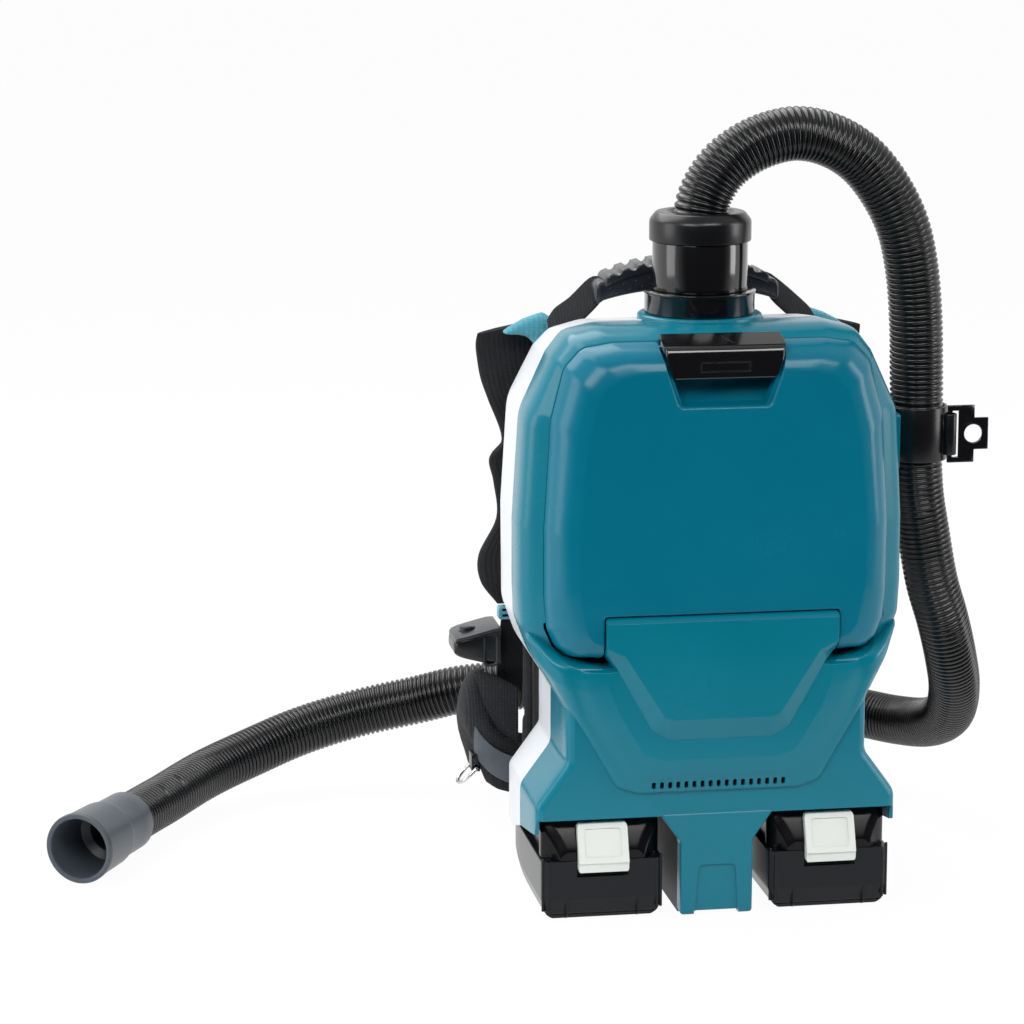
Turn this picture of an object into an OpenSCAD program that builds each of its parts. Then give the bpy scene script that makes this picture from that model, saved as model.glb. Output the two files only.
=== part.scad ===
// Backpack vacuum cleaner with twin slide-on batteries, a bottom-hinged front
// cover, a twist-lock hose and a carrying harness.
// Millimetres. +Z is up, the front cover faces -Y, +X is to the right of it.
// The origin lies on the floor, in the rest face of the centre foot.

/* [Body shell] */
// Half of the body's greatest width
body_half_w = 118.5; // [116:0.5:124]
// Height of the roof over the floor
roof_z = 360; // [356:1:370]
// Depth position of the cover's flat face
face_y = -81; // [-86:0.5:-80]
// Depth position of the seam between cover and housing
seam_y = -58; // [-59:0.5:-56]
// Depth position of the joint between housing and rear frame
joint_y = -14; // [-20:1:-10]
// Depth position of the rear frame's back
back_y = 56; // [54:0.5:62]
// Wall of the moulded shells
wall = 3; // [2.4:0.1:3.4]
// Half width of the skirt over the batteries
skirt_half_w = 112; // [111.6:0.1:114]
// Gap between a moving shell and its neighbour
shell_gap = 0.6; // [0.4:0.1:1]

/* [Front cover] */
// Half of the cover's width at the seam
cover_half_w = 106; // [104:0.5:107]
// Height of the cover's lower ears
cover_low_z = 162; // [161:0.5:163]
// Half width of the notch between the ears
notch_half_w = 71.7; // [70:0.1:74]
// Height of the notch
notch_z = 190; // [186:1:194]
// Cover hinge axis, depth
hinge_y = -70; // [-71:0.5:-69]
// Cover hinge axis, height
hinge_z = 172; // [171:0.5:174]
// Hinge pin radius
hinge_pin_r = 2.5; // [2:0.1:3]
// Radial clearance of pins in their bores
pin_play = 0.06; // [0.03:0.01:0.09]

/* [Latch] */
// Half width of the latch
latch_half_w = 36.4; // [35:0.1:36.6]
// Latch pin height
latch_pin_z = 353; // [352.8:0.1:353.4]
// Latch pin depth
latch_pin_y = -62.5; // [-62.7:0.1:-62.3]
// Latch pin radius
latch_pin_r = 1.2; // [1:0.1:1.4]

/* [Hose connector] */
// Depth position of the connector's axis
conn_y = -5; // [-6:0.5:-4]
// Outer radius of the inlet socket
socket_r = 28; // [27.4:0.1:29]
// Radius of the spigot that turns in the socket
spigot_r = 25; // [24.6:0.1:25.4]
// Radius of the lock ring
lock_ring_r = 33.6; // [32:0.2:35]
// Radius of the neck
neck_r = 29; // [28.4:0.1:30]
// Radius of the swivel collar
collar_r = 31; // [30.4:0.1:32]
// Radius of the collar's sleeve inside the neck
sleeve_r = 24; // [22.6:0.2:24.4]
// Top of the lock ring
ring_top_z = 375.4; // [372:0.2:378]
// Top of the neck
neck_top_z = 405; // [402:0.5:410]
// Top of the swivel collar
collar_top_z = 423; // [420:0.5:426]

/* [Hose] */
// Outer radius of the hose over its ribs
hose_r = 16.6; // [15:0.1:17]
// Radius in the valleys between the ribs
hose_valley_r = 15.2; // [14.4:0.1:15.6]
// Radius of the hose's bore
hose_bore_r = 13.4; // [12:0.1:13.6]
// Number of ribs
hose_ribs = 160; // [80:1:200]
// Radius of the cuff's socket for a wand
cuff_bore_r = 19; // [18:0.1:19.6]
// Outer radius of the cuff's mouth
cuff_mouth_r = 22.6; // [22.4:0.1:23]
// Length of the cuff's wide step
cuff_wide_l = 38; // [36:1:42]
// Length of the cuff's narrow step
cuff_narrow_l = 30; // [26:1:34]

/* [Batteries] */
// Distance of a battery's middle from the centre
battery_x = 70.5; // [70:0.1:71]
// Half width of a battery
battery_half_w = 37.5; // [37:0.1:38]
// Length of a battery
battery_l = 108; // [104:1:112]
// Height of a battery
battery_h = 62; // [61:0.5:62]
// Height of the battery's lower case
battery_low_h = 39; // [37:0.5:40]
// Depth position of the battery's front
battery_y = -70; // [-71:0.5:-70]
// Gap under the battery when the cleaner stands
battery_lift = 0.6; // [0.4:0.1:1]
// Travel of the release button
button_travel = 3; // [2:0.5:4]
// Radius of a battery cell
cell_r = 9; // [8:0.1:9.1]
// Length of a battery cell
cell_l = 65; // [60:1:66]

/* [Motor] */
// Radius of the motor can
can_r = 30; // [28:0.5:32]
// Radius of the fan
fan_r = 44; // [40:0.5:46]
// Radius of the motor shaft
shaft_r = 4; // [3:0.5:5]
// Depth position of the motor's axis
motor_y = -10; // [-12:0.5:-8]

/* [Dust chamber] */
// Half width of the filter cassette
filter_half_w = 60; // [50:1:66]
// Height of the filter cassette
filter_h = 28; // [22:1:32]
// Number of pleats
pleats = 16; // [8:1:24]
// Half width of the dust bag
bag_half_w = 74; // [60:1:80]

/* [Carry handle] */
// Depth position of the handle
handle_y = 43; // [42.8:0.1:43.4]
// Width of the handle webbing
handle_w = 22; // [18:0.5:22]
// Top of the webbing arch
handle_z = 383; // [380:0.5:388]

/* [Harness] */
// Half width of the back pad
pad_half_w = 104; // [98:0.5:108]
// Thickness of the back pad
pad_t = 18; // [14:0.5:22]
// Thickness of the harness back plate
plate_t = 5; // [4:0.5:6]
// Width of a shoulder strap
strap_w = 50; // [44:1:54]
// Thickness of a shoulder strap
strap_t = 9; // [7:0.5:11]
// Thickness of the hip belt
belt_t = 11; // [8:0.5:13]
// Thickness of webbing
webbing_t = 2; // [1.6:0.1:2.4]

/* [Hose holder] */
// Depth position of the hose holder
holder_y = 9; // [8:0.5:10]
// Middle height of the hose holder
holder_z = 281; // [279:0.5:283]
// Height of the band
band_h = 34; // [30:1:38]
// Radius of the hanging hole in the plate
plate_hole_r = 5.7; // [4:0.1:6.5]

/* [Hidden] */
$fn = 64;

eps = 0.01;
deck_t = 3;
deck_z = 65;
battery_z = battery_lift;
battery_top_z = battery_z + battery_h;
step_z = battery_z + battery_low_h;
face_gap = 0.3;

// ---------- helpers ----------

function unit(v) = v / norm(v);
function mirrored(half) =
    concat(half, [for (i = [len(half) - 1:-1:0]) [-half[i].x, half[i].y]]);
// Moves every side of a counterclockwise outline inwards by d
function inset(p, d) = [
    for (i = [0:len(p) - 1])
        let (a = p[(i + len(p) - 1) % len(p)], b = p[i], c = p[(i + 1) % len(p)],
             u = unit(b - a), v = unit(c - b), m = [-u.y, u.x], n = [-v.y, v.x])
        b + d * (m + n) / (1 + m * n)];
// An outline in the XZ plane, placed at a depth
function at_depth(p, y) = [for (q = p) [q.x, y, q.y]];

// Skin over rings that have the same count; seen along the travel, each ring
// runs counterclockwise
module loft(rings, cap = undef) {
    n = len(rings[0]);
    m = len(rings);
    points = [for (r = rings) each r];
    sides = [for (k = [0:m - 2], i = [0:n - 1])
        let (j = (i + 1) % n)
        each [[k * n + i, k * n + j, (k + 1) * n + j], [k * n + i, (k + 1) * n + j, (k + 1) * n + i]]];
    ends = cap == undef ? [[for (i = [0:n - 1]) i]] : cap;
    first = [for (e = ends) [for (i = [len(e) - 1:-1:0]) e[i]]];
    last = [for (e = ends) [for (i = e) (m - 1) * n + i]];
    polyhedron(points, concat(sides, first, last));
}

// XZ outline as a straight block between two depths
module slab(p, y0, y1) {
    translate([0, y1, 0]) rotate([90, 0, 0]) linear_extrude(y1 - y0) polygon(p);
}

// YZ outline as a straight block between two X positions
module side_slab(p, x0, x1) {
    translate([x0, 0, 0]) rotate([90, 0, 90]) linear_extrude(x1 - x0) polygon(p);
}

// XY outline as a straight block between two heights
module flat_slab(p, z0, z1) {
    translate([0, 0, z0]) linear_extrude(z1 - z0) polygon(p);
}

module block(lo, hi) {
    translate(lo) cube(hi - lo);
}

module both_sides() {
    children();
    mirror([1, 0, 0]) children();
}

module x_rod(r, x0, x1, y, z) {
    translate([x0, y, z]) rotate([0, 90, 0]) cylinder(r = r, h = x1 - x0);
}

module y_rod(r, x, y0, y1, z) {
    translate([x, y1, z]) rotate([90, 0, 0]) cylinder(r = r, h = y1 - y0);
}

module tube(r_out, r_in, z0, z1) {
    translate([0, 0, z0]) difference() {
        cylinder(r = r_out, h = z1 - z0);
        translate([0, 0, -1]) cylinder(r = r_in, h = z1 - z0 + 2);
    }
}

// ---------- outlines of the body ----------

// An inner shape reaches a little past the end of its outer one
function past(d) = d > 0 ? 1 : 0;
// Upper body in front view, at its greatest width
function wide_outline(d = 0) = inset(mirrored([
    [50, 84], [66, 89], [110, 160], [body_half_w - 1, 180], [body_half_w, 200],
    [body_half_w, 240], [body_half_w - 4, 306], [98, 342], [88, roof_z - 5], [70, roof_z - 1]]), d);
// The same where the cover meets it
function seam_outline(d = 0) = inset(mirrored([
    [46, 90], [58, 94], [97, 160], [cover_half_w - 2, 180], [cover_half_w, 200],
    [cover_half_w, 240], [cover_half_w - 4, 306], [94, 338], [83, 350], [64, 353]]), d);
// Whole body behind the joint, from foot to roof
function frame_outline(d = 0, drop = 0) = inset(mirrored([
    [104, 27], [skirt_half_w, 36], [skirt_half_w, 72], [93, 98], [93, 133],
    [110, 160], [body_half_w - 1.5, 180], [body_half_w - 1, 240], [body_half_w - 5, 306],
    [97, 341 - drop / 2], [87, roof_z - 6 - drop], [68, roof_z - 1 - drop]]), d);
// The cover at the seam, and at its face
cover_ring = mirrored([
    [notch_half_w, cover_low_z], [92, cover_low_z + 1], [99, cover_low_z + 7],
    [104, 180], [cover_half_w - 0.4, 200], [cover_half_w - 0.4, 240],
    [cover_half_w - 4.4, 306], [93.6, 337.6], [82.8, 349.4], [64, 352.4]]);
cover_shoulder = mirrored([
    [notch_half_w, cover_low_z + 1], [90, cover_low_z + 2], [97, cover_low_z + 8],
    [101, 181], [cover_half_w - 3, 200], [cover_half_w - 3, 240],
    [cover_half_w - 7, 304], [90, 335], [79, 346.6], [62, 349.6]]);
cover_edge = mirrored([
    [notch_half_w, cover_low_z + 3.5], [86, cover_low_z + 5], [91, cover_low_z + 11],
    [94, 184], [96.5, 202], [97, 240], [92, 300], [84, 329], [74, 341], [58, 344.4]]);
cover_face = mirrored([
    [notch_half_w, cover_low_z + 9], [79, cover_low_z + 12], [83, cover_low_z + 18],
    [85, 190], [87.5, 205], [88, 240], [83, 296], [76, 322], [67, 333], [52, 336.6]]);

// What lies between two depths
module between(y0, y1) {
    intersection() {
        children();
        block([-200, y0, -50], [200, y1, 500]);
    }
}

// The lofts of the shells run past both ends, and are cut flat there
module upper_shell(d) {
    loft([at_depth(seam_outline(d), seam_y - 1), at_depth(seam_outline(d), seam_y),
        at_depth(wide_outline(d + 2.4), seam_y + 7), at_depth(wide_outline(d), seam_y + 16),
        at_depth(wide_outline(d), -30), at_depth(wide_outline(d + 1), joint_y + 1)]);
}

// Lower front: the swelling under the cover, the ledge with the vents round it, and
// shelves beside the cover's ears. Each ring: its depth, how far the inside of the wall
// follows that depth, and half its outline
apron_rings = [
    [-77.4, 1, [[34, 100], [46, 103.5], [62, 130], [68, 146], [68.5, 152], [67.5, 155], [60, 156]]],
    [-76, 1, [[42, 91], [53.5, 94.5], [73, 127], [79, 144], [80, 152], [78, 155.5], [66, 156]]],
    [-73.6, 1, [[46, 86], [57.5, 90], [80, 127], [87, 145], [88, 153], [85, 156], [71, 156.6]]],
    [-73.2, 1, [[47.5, 81], [60.5, 85], [85, 126], [92, 145], [93, 155], [89, 158], [72, 157]]],
    [-71.6, 1, [[49.3, 78], [62.8, 82.2], [88, 128], [97, 149], [98, 158.5], [92.5, 160.3],
        [72, 157.5]]],
    [-66, 0.7, [[50, 77.5], [64, 81.5], [92, 131], [103, 153], [105, 163.5], [97, 163.2], [72, 158]]],
    [-58, 0.35, [[50, 77.5], [64.5, 81.7], [96, 137], [108, 158], [112, 173.5], [100.3, 168], [72, 158]]],
    [-50, 0, [[50, 77.5], [65, 82], [98, 139], [110.3, 160], [117, 179], [101.5, 169.5], [72, 158]]],
    [-42, 0.7, [[50, 79], [64, 83.5], [96.5, 140], [108.7, 161], [115, 178], [101, 169.5], [72, 158]]]];
module apron(d) {
    loft([for (r = apron_rings) at_depth(inset(mirrored(r[2]), d), r[0] + d * r[1])]);
}

// Hinge tab and the raised panel below it
tab_top_z = notch_z - shell_gap;
tab_round_r = 19.3;
notch_round_r = tab_round_r + 0.4;
tab_half_w = notch_half_w - shell_gap;
module tab_panel(d) {
    difference() {
        tab_form(d);
        // top rounded about the hinge, clear of the cover's lower wall
        difference() {
            block([-80, -100, hinge_z], [80, seam_y + d, 215]);
            x_rod(tab_round_r - d, -81, 81, hinge_y, hinge_z);
        }
    }
}
tab_face = mirrored([[31, 125.5], [36, 128], [60, 166], [tab_half_w, 171], [tab_half_w, tab_top_z]]);
tab_base = mirrored([[31, 108.5], [44, 116], [66, 157], [tab_half_w, 166], [tab_half_w, tab_top_z]]);
module tab_form(d) {
    loft([at_depth(inset(tab_face, d), -83 + d), at_depth(inset(tab_base, d), -76 + d),
        at_depth(inset(tab_base, d), seam_y + 4.6 + past(d))]);
}

// Skirt over the batteries, with the drawn-in waist
skirt_outline = mirrored([[skirt_half_w, 40], [skirt_half_w, 72], [93, 98], [93, 140]]);
module skirt(d) {
    between(-70 + d, 0) loft([at_depth(inset(skirt_outline, 6.75 + d), -71 + d),
        at_depth(inset(skirt_outline, 1.5 + d), -68 + d),
        at_depth(inset(skirt_outline, d), -63 + d), at_depth(inset(skirt_outline, d), joint_y + 1)]);
}

// Screw posts that join the two shells: [x, z]
posts = [[100, 232], [72, 326], [76, 118]];
post_r = 5.5;
screw_r = 1.7;

foot_half_w = 22.5;
foot_front_y = -71;
foot_back_y = 20;
module foot() {
    slab(mirrored([[foot_half_w, 0], [foot_half_w, 46], [36, deck_z]]), foot_front_y, -61);
    block([-foot_half_w, -61 - eps, 0], [foot_half_w, foot_back_y, deck_z]);
}

vent_n = 17;
vent_pitch = 5;
bay_wall = 2.6;
inlet_r = 38;
module inlet_collar() {
    translate([0, conn_y, roof_z - 11]) cylinder(r = inlet_r, h = 12.3);
}

// Ear that carries the hose holder
ear_x = 118;
ear_t = 3.8;
module hose_ear() {
    half_h = band_h / 2;
    block([ear_x - 2.5, joint_y - 14, holder_z - half_h], [ear_x, joint_y - 2, holder_z + half_h]);
    side_slab([[joint_y - 12, holder_z - half_h], [holder_y + 1, holder_z - half_h],
        [holder_y + 7, holder_z - half_h + 7], [holder_y + 7, holder_z + half_h - 7],
        [holder_y + 1, holder_z + half_h], [joint_y - 12, holder_z + half_h]], ear_x, ear_x + ear_t);
}

module vent_slots() {
    for (i = [0:vent_n - 1])
        translate([(i - (vent_n - 1) / 2) * vent_pitch, 0, 0])
            block([-1.2, -85, 81.2], [1.2, -60, 85.4]);
}

rim_y0 = seam_y + 3;
rim_y1 = rim_y0 + 3;
rim_low_z = 183;
catch_z = 343.5;
module chamber_rim() {
    difference() {
        intersection() {
            slab(seam_outline(1), rim_y0, rim_y1);
            block([-130, -100, rim_low_z], [130, 0, roof_z]);
        }
        slab(mirrored([[86, 196], [90, 206], [90, 240], [86, 300], [72, 318], [60, 322]]),
            rim_y0 - 1, rim_y1 + 1);
        // way for the latch's hook
        block([-14, rim_y0 - 1, 335.5], [14, rim_y1 + 1, catch_z]);
    }
}

// Pockets for the ears of the cover, and the wall behind them
pocket_z = 158.2;
module ear_pockets() {
    both_sides() slab([[66, pocket_z], [84, pocket_z + 2], [92.8, pocket_z + 4], [100, 168.5],
        [104.9, 180], [104.9, rim_low_z], [66, rim_low_z]], seam_y - 5.5, seam_y + 4.1);
}
module pocket_wall() {
    intersection() {
        slab(seam_outline(1), seam_y + 4, rim_y1 + 0.2);
        block([-130, -100, pocket_z], [130, 0, rim_low_z + 1]);
    }
}

// Bays of the batteries, and the rising lower edge of the side walls
module battery_bays() {
    x = skirt_half_w - bay_wall - 0.4;
    block([-x, -120, -1], [x, -60.5, 63]);
    block([-x, -61, -1], [x, 60, deck_z]);
    both_sides() side_slab([[-80, 62.5], [-64, 62.5], [joint_y + 1, 45.4], [joint_y + 1, 0], [-80, 0]],
        36, 140);
}

module front_housing() {
    color("teal") difference() {
        union() {
            difference() {
                union() {
                    difference() {
                        union() {
                            between(seam_y, joint_y) upper_shell(0);
                            apron(0);
                            between(-100, joint_y) skirt(0);
                        }
                        ear_pockets();
                    }
                    tab_panel(0);
                }
                upper_shell(wall);
                apron(wall);
                tab_panel(wall);
                intersection() {
                    skirt(bay_wall);
                    block([-200, -100, deck_z - face_gap], [200, 0, 300]);
                }
                battery_bays();
            }
            chamber_rim();
            pocket_wall();
            // hinge bosses in the tab
            both_sides() x_rod(6, 60, tab_half_w - 0.4, hinge_y, hinge_z);
            foot();
            // posts for the screws, with their webs
            both_sides() for (p = posts) y_rod(post_r, p.x, -44, joint_y, p.y);
            both_sides() {
                block([posts[0].x, -44, posts[0].y - 1.3], [body_half_w - 2, joint_y, posts[0].y + 1.3]);
                block([posts[1].x - 1.3, -44, posts[1].y], [posts[1].x + 1.3, joint_y, roof_z - 3]);
                block([posts[2].x, -44, posts[2].y - 1.3], [91.5, joint_y, posts[2].y + 1.3]);
            }
            inlet_collar();
            hose_ear();
        }
        // hollow foot
        block([-foot_half_w + wall, foot_front_y + wall, wall],
            [foot_half_w - wall, foot_back_y - wall, deck_z + 1]);
        // small square recess and toes
        slab(mirrored([[12, 9], [12, 33]]), foot_front_y - 1, foot_front_y + 1.2);
        block([-14, foot_front_y - 1, -1], [14, foot_front_y + 9, 1.6]);
        vent_slots();
        // bores
        x_rod(hinge_pin_r + pin_play, -90, -61, hinge_y, hinge_z);
        x_rod(hinge_pin_r + pin_play, 61, 90, hinge_y, hinge_z);
        translate([0, conn_y, 300]) cylinder(r = socket_r + face_gap, h = 100);
        both_sides() for (p = posts) y_rod(screw_r, p.x, -40, 0, p.y);
    }
}

// ---------- rear frame ----------

module frame_solid(d) {
    between(joint_y - 2 * past(d), back_y - d)
        loft([at_depth(frame_outline(d), joint_y - 1), at_depth(frame_outline(d + 0.5, 5), 34 - d),
            at_depth(frame_outline(0.7 * d + 4, 7), back_y - 10 - d),
            at_depth(frame_outline(0.15 * d + 11.7, 8), back_y - d + 1)]);
}

ledge_z = 160;
module rear_frame() {
    color("whitesmoke") difference() {
        union() {
            difference() {
                frame_solid(0);
                frame_solid(wall);
            }
            // feet
            both_sides() block([56, 45, 0], [96, 52, 40]);
            // ledges under the filter deck
            both_sides() slab([[92, ledge_z - 4], [105.5, ledge_z - 4], [108, ledge_z], [92, ledge_z]],
                joint_y + 4, 36);
            // posts for the screws
            both_sides() for (p = posts) y_rod(post_r, p.x, joint_y, back_y - wall + 1, p.y);
        }
        // room for the batteries, and the rising lower edge beside them
        both_sides() block([-1, -60, -1], [skirt_half_w - bay_wall, 44.6, deck_z - face_gap]);
        both_sides() side_slab([[-30, 49.6], [46, 28], [46, 0], [-30, 0]], 105, 140);
        // seats of the inlet collar and of the handle anchors
        translate([0, conn_y, roof_z - 12]) cylinder(r = inlet_r + 0.4, h = 40);
        both_sides() handle_anchor(0.1);
        both_sides() for (p = posts) {
            y_rod(screw_r + 0.1, p.x, joint_y - 1, 60, p.y);
            y_rod(4.6, p.x, 48, 60, p.y);
        }
    }
}

screw_head_y = 48;
module housing_screws() {
    color("dimgray") both_sides() for (p = posts) {
        y_rod(screw_r - 0.05, p.x, joint_y - 20, screw_head_y + eps, p.y);
        y_rod(4.2, p.x, screw_head_y, screw_head_y + 2.6, p.y);
    }
}

// ---------- deck over the batteries ----------

rail_low_z = 55;
groove_h = 3.6;
rail_web = 2.2;
top_half_w = battery_half_w - 3.5;
module battery_rail() {
    // web and lip on one side of a battery
    block([top_half_w + 0.5, -46, rail_low_z + 0.5], [top_half_w + 0.5 + rail_web, 36, deck_z + eps]);
    block([top_half_w - 3.4, -46, rail_low_z + 0.5], [top_half_w + 1, 36, rail_low_z + groove_h - 0.5]);
}

deck_half_w = skirt_half_w - 3.4;
module battery_deck() {
    color("black") {
        difference() {
            flat_slab(mirrored([[100.8, 51.5], [105.5, 43], [108.1, 31], [deck_half_w, 8],
                [deck_half_w, -57], [103.4, -65.5]]),
                deck_z, deck_z + deck_t);
            translate([0, motor_y, deck_z - 1]) cylinder(r = 18, h = deck_t + 2);
        }
        both_sides() translate([battery_x, 0, 0]) both_sides() battery_rail();
    }
}

module terminal_blocks() {
    color("dimgray") both_sides()
        block([battery_x - 15, 40, 46], [battery_x + 15, 44.4, deck_z]);
}

// ---------- front cover ----------

module cover_solid(d) {
    loft([at_depth(inset(cover_face, d), face_y + d), at_depth(inset(cover_edge, d), -77.4 + d),
        at_depth(inset(cover_shoulder, d), -69 + d * 0.6),
        at_depth(inset(cover_ring, d), seam_y - shell_gap + past(d))]);
}

recess_outline = mirrored([[24.5, 313], [37.6, 351], [37.6, 362]]);
recess_y = -67;
lug_x0 = 20;
lug_x1 = 24;
lug_r = latch_pin_r + 1.1;
module front_cover() {
    color("darkcyan") difference() {
        union() {
            difference() {
                cover_solid(0);
                difference() {
                    cover_solid(wall);
                    // pocket of the finger recess, and the bar under the latch
                    slab(inset(recess_outline, -wall), face_y, recess_y + wall);
                    block([-40.6, recess_y, 344.4], [40.6, seam_y + 2, 360]);
                }
            }
            // knuckles of the hinge
            both_sides() {
                x_rod(6, notch_half_w + 1, 83, hinge_y, hinge_z);
                block([notch_half_w + 1, face_y + 4, cover_low_z + 3], [83, hinge_y, hinge_z + 6]);
            }
            // walls of the notch
            both_sides() intersection() {
                cover_solid(0);
                block([notch_half_w, -100, 0], [notch_half_w + 2, 0, notch_z + 2]);
            }
            intersection() {
                cover_solid(0);
                union() {
                    block([-notch_half_w - 2, -100, notch_z - 5], [notch_half_w + 2, 0, notch_z + 2.4]);
                    x_rod(notch_round_r + 2.4, -notch_half_w - 2, notch_half_w + 2, hinge_y, hinge_z);
                }
            }
        }
        block([-notch_half_w, -100, 100], [notch_half_w, hinge_y, notch_z]);
        block([-notch_half_w, hinge_y - 1, 100], [notch_half_w, 0, hinge_z + 5]);
        x_rod(notch_round_r, -notch_half_w, notch_half_w, hinge_y, hinge_z);
        slab(recess_outline, -100, recess_y);
        // way of the latch's hook, and relief for the latch's barrel
        block([-13, -80, 331], [13, -50, catch_z]);
        x_rod(latch_barrel_r + 0.5, -37.6, 37.6, latch_pin_y, latch_pin_z);
        both_sides() x_rod(hinge_pin_r + pin_play, notch_half_w - 1, 86, hinge_y, hinge_z);
    }
    // lugs of the latch pin
    color("darkcyan") difference() {
        both_sides() {
            x_rod(lug_r, lug_x0, lug_x1, latch_pin_y, latch_pin_z);
            block([lug_x0, latch_pin_y - lug_r, 346], [lug_x1, latch_pin_y + lug_r, latch_pin_z]);
        }
        x_rod(latch_pin_r + pin_play, -41, 41, latch_pin_y, latch_pin_z);
    }
}

module cover_hinge_pins() {
    color("silver") both_sides() x_rod(hinge_pin_r, 61.5, 83, hinge_y, hinge_z);
}

module cover_seal() {
    color("dimgray") difference() {
        intersection() {
            slab(seam_outline(6), seam_y + 0.3, rim_y0);
            block([-130, -100, rim_low_z + 3], [130, 0, roof_z]);
        }
        slab(mirrored([[88, 193], [92, 205], [92, 240], [88, 301], [74, 320.5], [60, 324.5]]),
            seam_y - 1, rim_y0 + 1);
        block([-16, seam_y - 1, 334], [16, rim_y0 + 1, roof_z]);
    }
}

latch_barrel_r = 3;
latch_side = [[-80.4, 332], [-75, 331.6], [-68.8, 346], [-67.5, 350.9], [-60.2, 352.6],
    [-60.2, 357.2], [-79.2, 350.6], [-80.4, 348]];
latch_front = mirrored([[latch_half_w - 7, 332], [latch_half_w, 351], [latch_half_w, 360]]);
module cover_latch() {
    color("black") difference() {
        union() {
            intersection() {
                side_slab(latch_side, -latch_half_w, latch_half_w);
                slab(latch_front, -100, 0);
            }
            x_rod(latch_barrel_r, -latch_half_w, latch_half_w, latch_pin_y, latch_pin_z);
            // hook that reaches under the catch
            block([-10, -77, 338.6], [10, -53.8, 341.4]);
            block([-10, -56.4, 341], [10, -53.8, catch_z - 0.6]);
        }
        intersection() {
            side_slab([[-77.8, 330], [-66, 330], [-66, 351.8], [-77, 347.6]], -50, 50);
            difference() {
                slab(inset(latch_front, 2), -100, 0);
                block([-10, -78, 338.6], [10, -50, 341.4]);
            }
        }
        // room for the cover's lugs
        both_sides() {
            x_rod(lug_r + 0.4, lug_x0 - 0.5, lug_x1 + 0.5, latch_pin_y, latch_pin_z);
            block([lug_x0 - 0.5, latch_pin_y - 4, 344], [lug_x1 + 0.5, latch_pin_y + 4, latch_pin_z]);
        }
        x_rod(latch_pin_r + pin_play, -50, 50, latch_pin_y, latch_pin_z);
    }
}

module latch_pin() {
    color("silver") x_rod(latch_pin_r, -35, 35, latch_pin_y, latch_pin_z);
}

// ---------- hose connector ----------

socket_low_z = roof_z - 20;
ring_low_z = roof_z + 1.6;
sleeve_low_z = neck_top_z - 17;
hose_start_z = sleeve_low_z + 4;
module at_connector() {
    translate([0, conn_y, 0]) children();
}

module inlet_socket() {
    color("black") at_connector() {
        tube(socket_r, spigot_r + 0.35, socket_low_z, ring_low_z - face_gap);
        tube(36, socket_r - 0.5, roof_z - 14, roof_z - 11);
    }
}

module lock_ring() {
    color("black") at_connector() {
        tube(lock_ring_r, spigot_r + 0.05, ring_low_z, ring_top_z);
        tube(lock_ring_r + 0.7, lock_ring_r - 1, ring_top_z - 2, ring_top_z);
    }
}

module hose_neck() {
    color("black") at_connector() {
        tube(spigot_r, 21, socket_low_z + 5, ring_top_z + 0.2 + eps);
        tube(neck_r, 21, ring_top_z + 0.2, sleeve_low_z - face_gap);
        tube(neck_r, sleeve_r + 0.35, sleeve_low_z - face_gap - eps, neck_top_z);
    }
}

module swivel_collar() {
    color("black") at_connector() rotate_extrude() polygon([
        [hose_bore_r, sleeve_low_z], [sleeve_r, sleeve_low_z], [sleeve_r, neck_top_z + face_gap],
        [collar_r, neck_top_z + face_gap], [collar_r, collar_top_z - 6], [collar_r - 4, collar_top_z],
        [hose_r + 4, collar_top_z], [hose_r + 1.2, collar_top_z - 2], [hose_r + 1.2, collar_top_z - 9],
        [hose_r + 4, collar_top_z - 12], [hose_r + 4, hose_start_z], [hose_bore_r, hose_start_z]]);
}

// ---------- hose ----------

// Middle line of the hose, from the collar to the cuff
cuff_dir = [-0.5, -0.866, 0];
hose_end = [-346.7, 112.9, cuff_mouth_r + 0.2];
hose_route = [[0, conn_y, hose_start_z], [0, conn_y, 409], [1, -5, 427], [8, -5, 442], [19, -5, 454],
    [37, -4, 464], [59, -2, 468.5], [81, 0, 464], [101, 2, 452], [117, 3, 433], [129, 4, 410],
    [136, 6, 382], [139.5, 7.5, 350], [141, holder_y, 318], [141.4, holder_y, 300],
    [141.5, holder_y, holder_z], [141.7, holder_y, 262], [144, 11, 240],
    [149, 14, 216], [156, 17, 184], [166, 25, 157], [177, 42, 128], [187, 66, 101],
    [193, 98, 76], [190, 134, 60], [178, 168, 53], [156, 194, 53], [124, 212, 56],
    [70, 226, 61], [0, 236, 66], [-60, 240, 69], [-104, 242, 68.5], [-140, 252, 59],
    [-180, 257, 50], [-219, 251, 41], [-254, 235, 32], [-289, 206, 25.5], [-319, 160, 23],
    hose_end - 35 * cuff_dir, hose_end - 17 * cuff_dir, hose_end];

// Smooth curve through a list of points: stretch i, part t
function on_curve(p, i, t) =
    let (n = len(p), b = p[i], c = p[i + 1], a = i == 0 ? 2 * b - c : p[i - 1],
         d = i == n - 2 ? 2 * c - b : p[i + 2])
    0.5 * (2 * b + (c - a) * t + (2 * a - 5 * b + 4 * c - d) * t * t
        + (3 * b - a - 3 * c + d) * t * t * t);
function smooth(p, n) =
    concat([for (i = [0:len(p) - 2], k = [0:n - 1]) on_curve(p, i, k / n)], [p[len(p) - 1]]);

fine = smooth(hose_route, 8);
function lengths(p, i = 1, out = [0]) =
    i == len(p) ? out : lengths(p, i + 1, concat(out, [out[i - 1] + norm(p[i] - p[i - 1])]));
run = lengths(fine);
hose_l = run[len(run) - 1];
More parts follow.
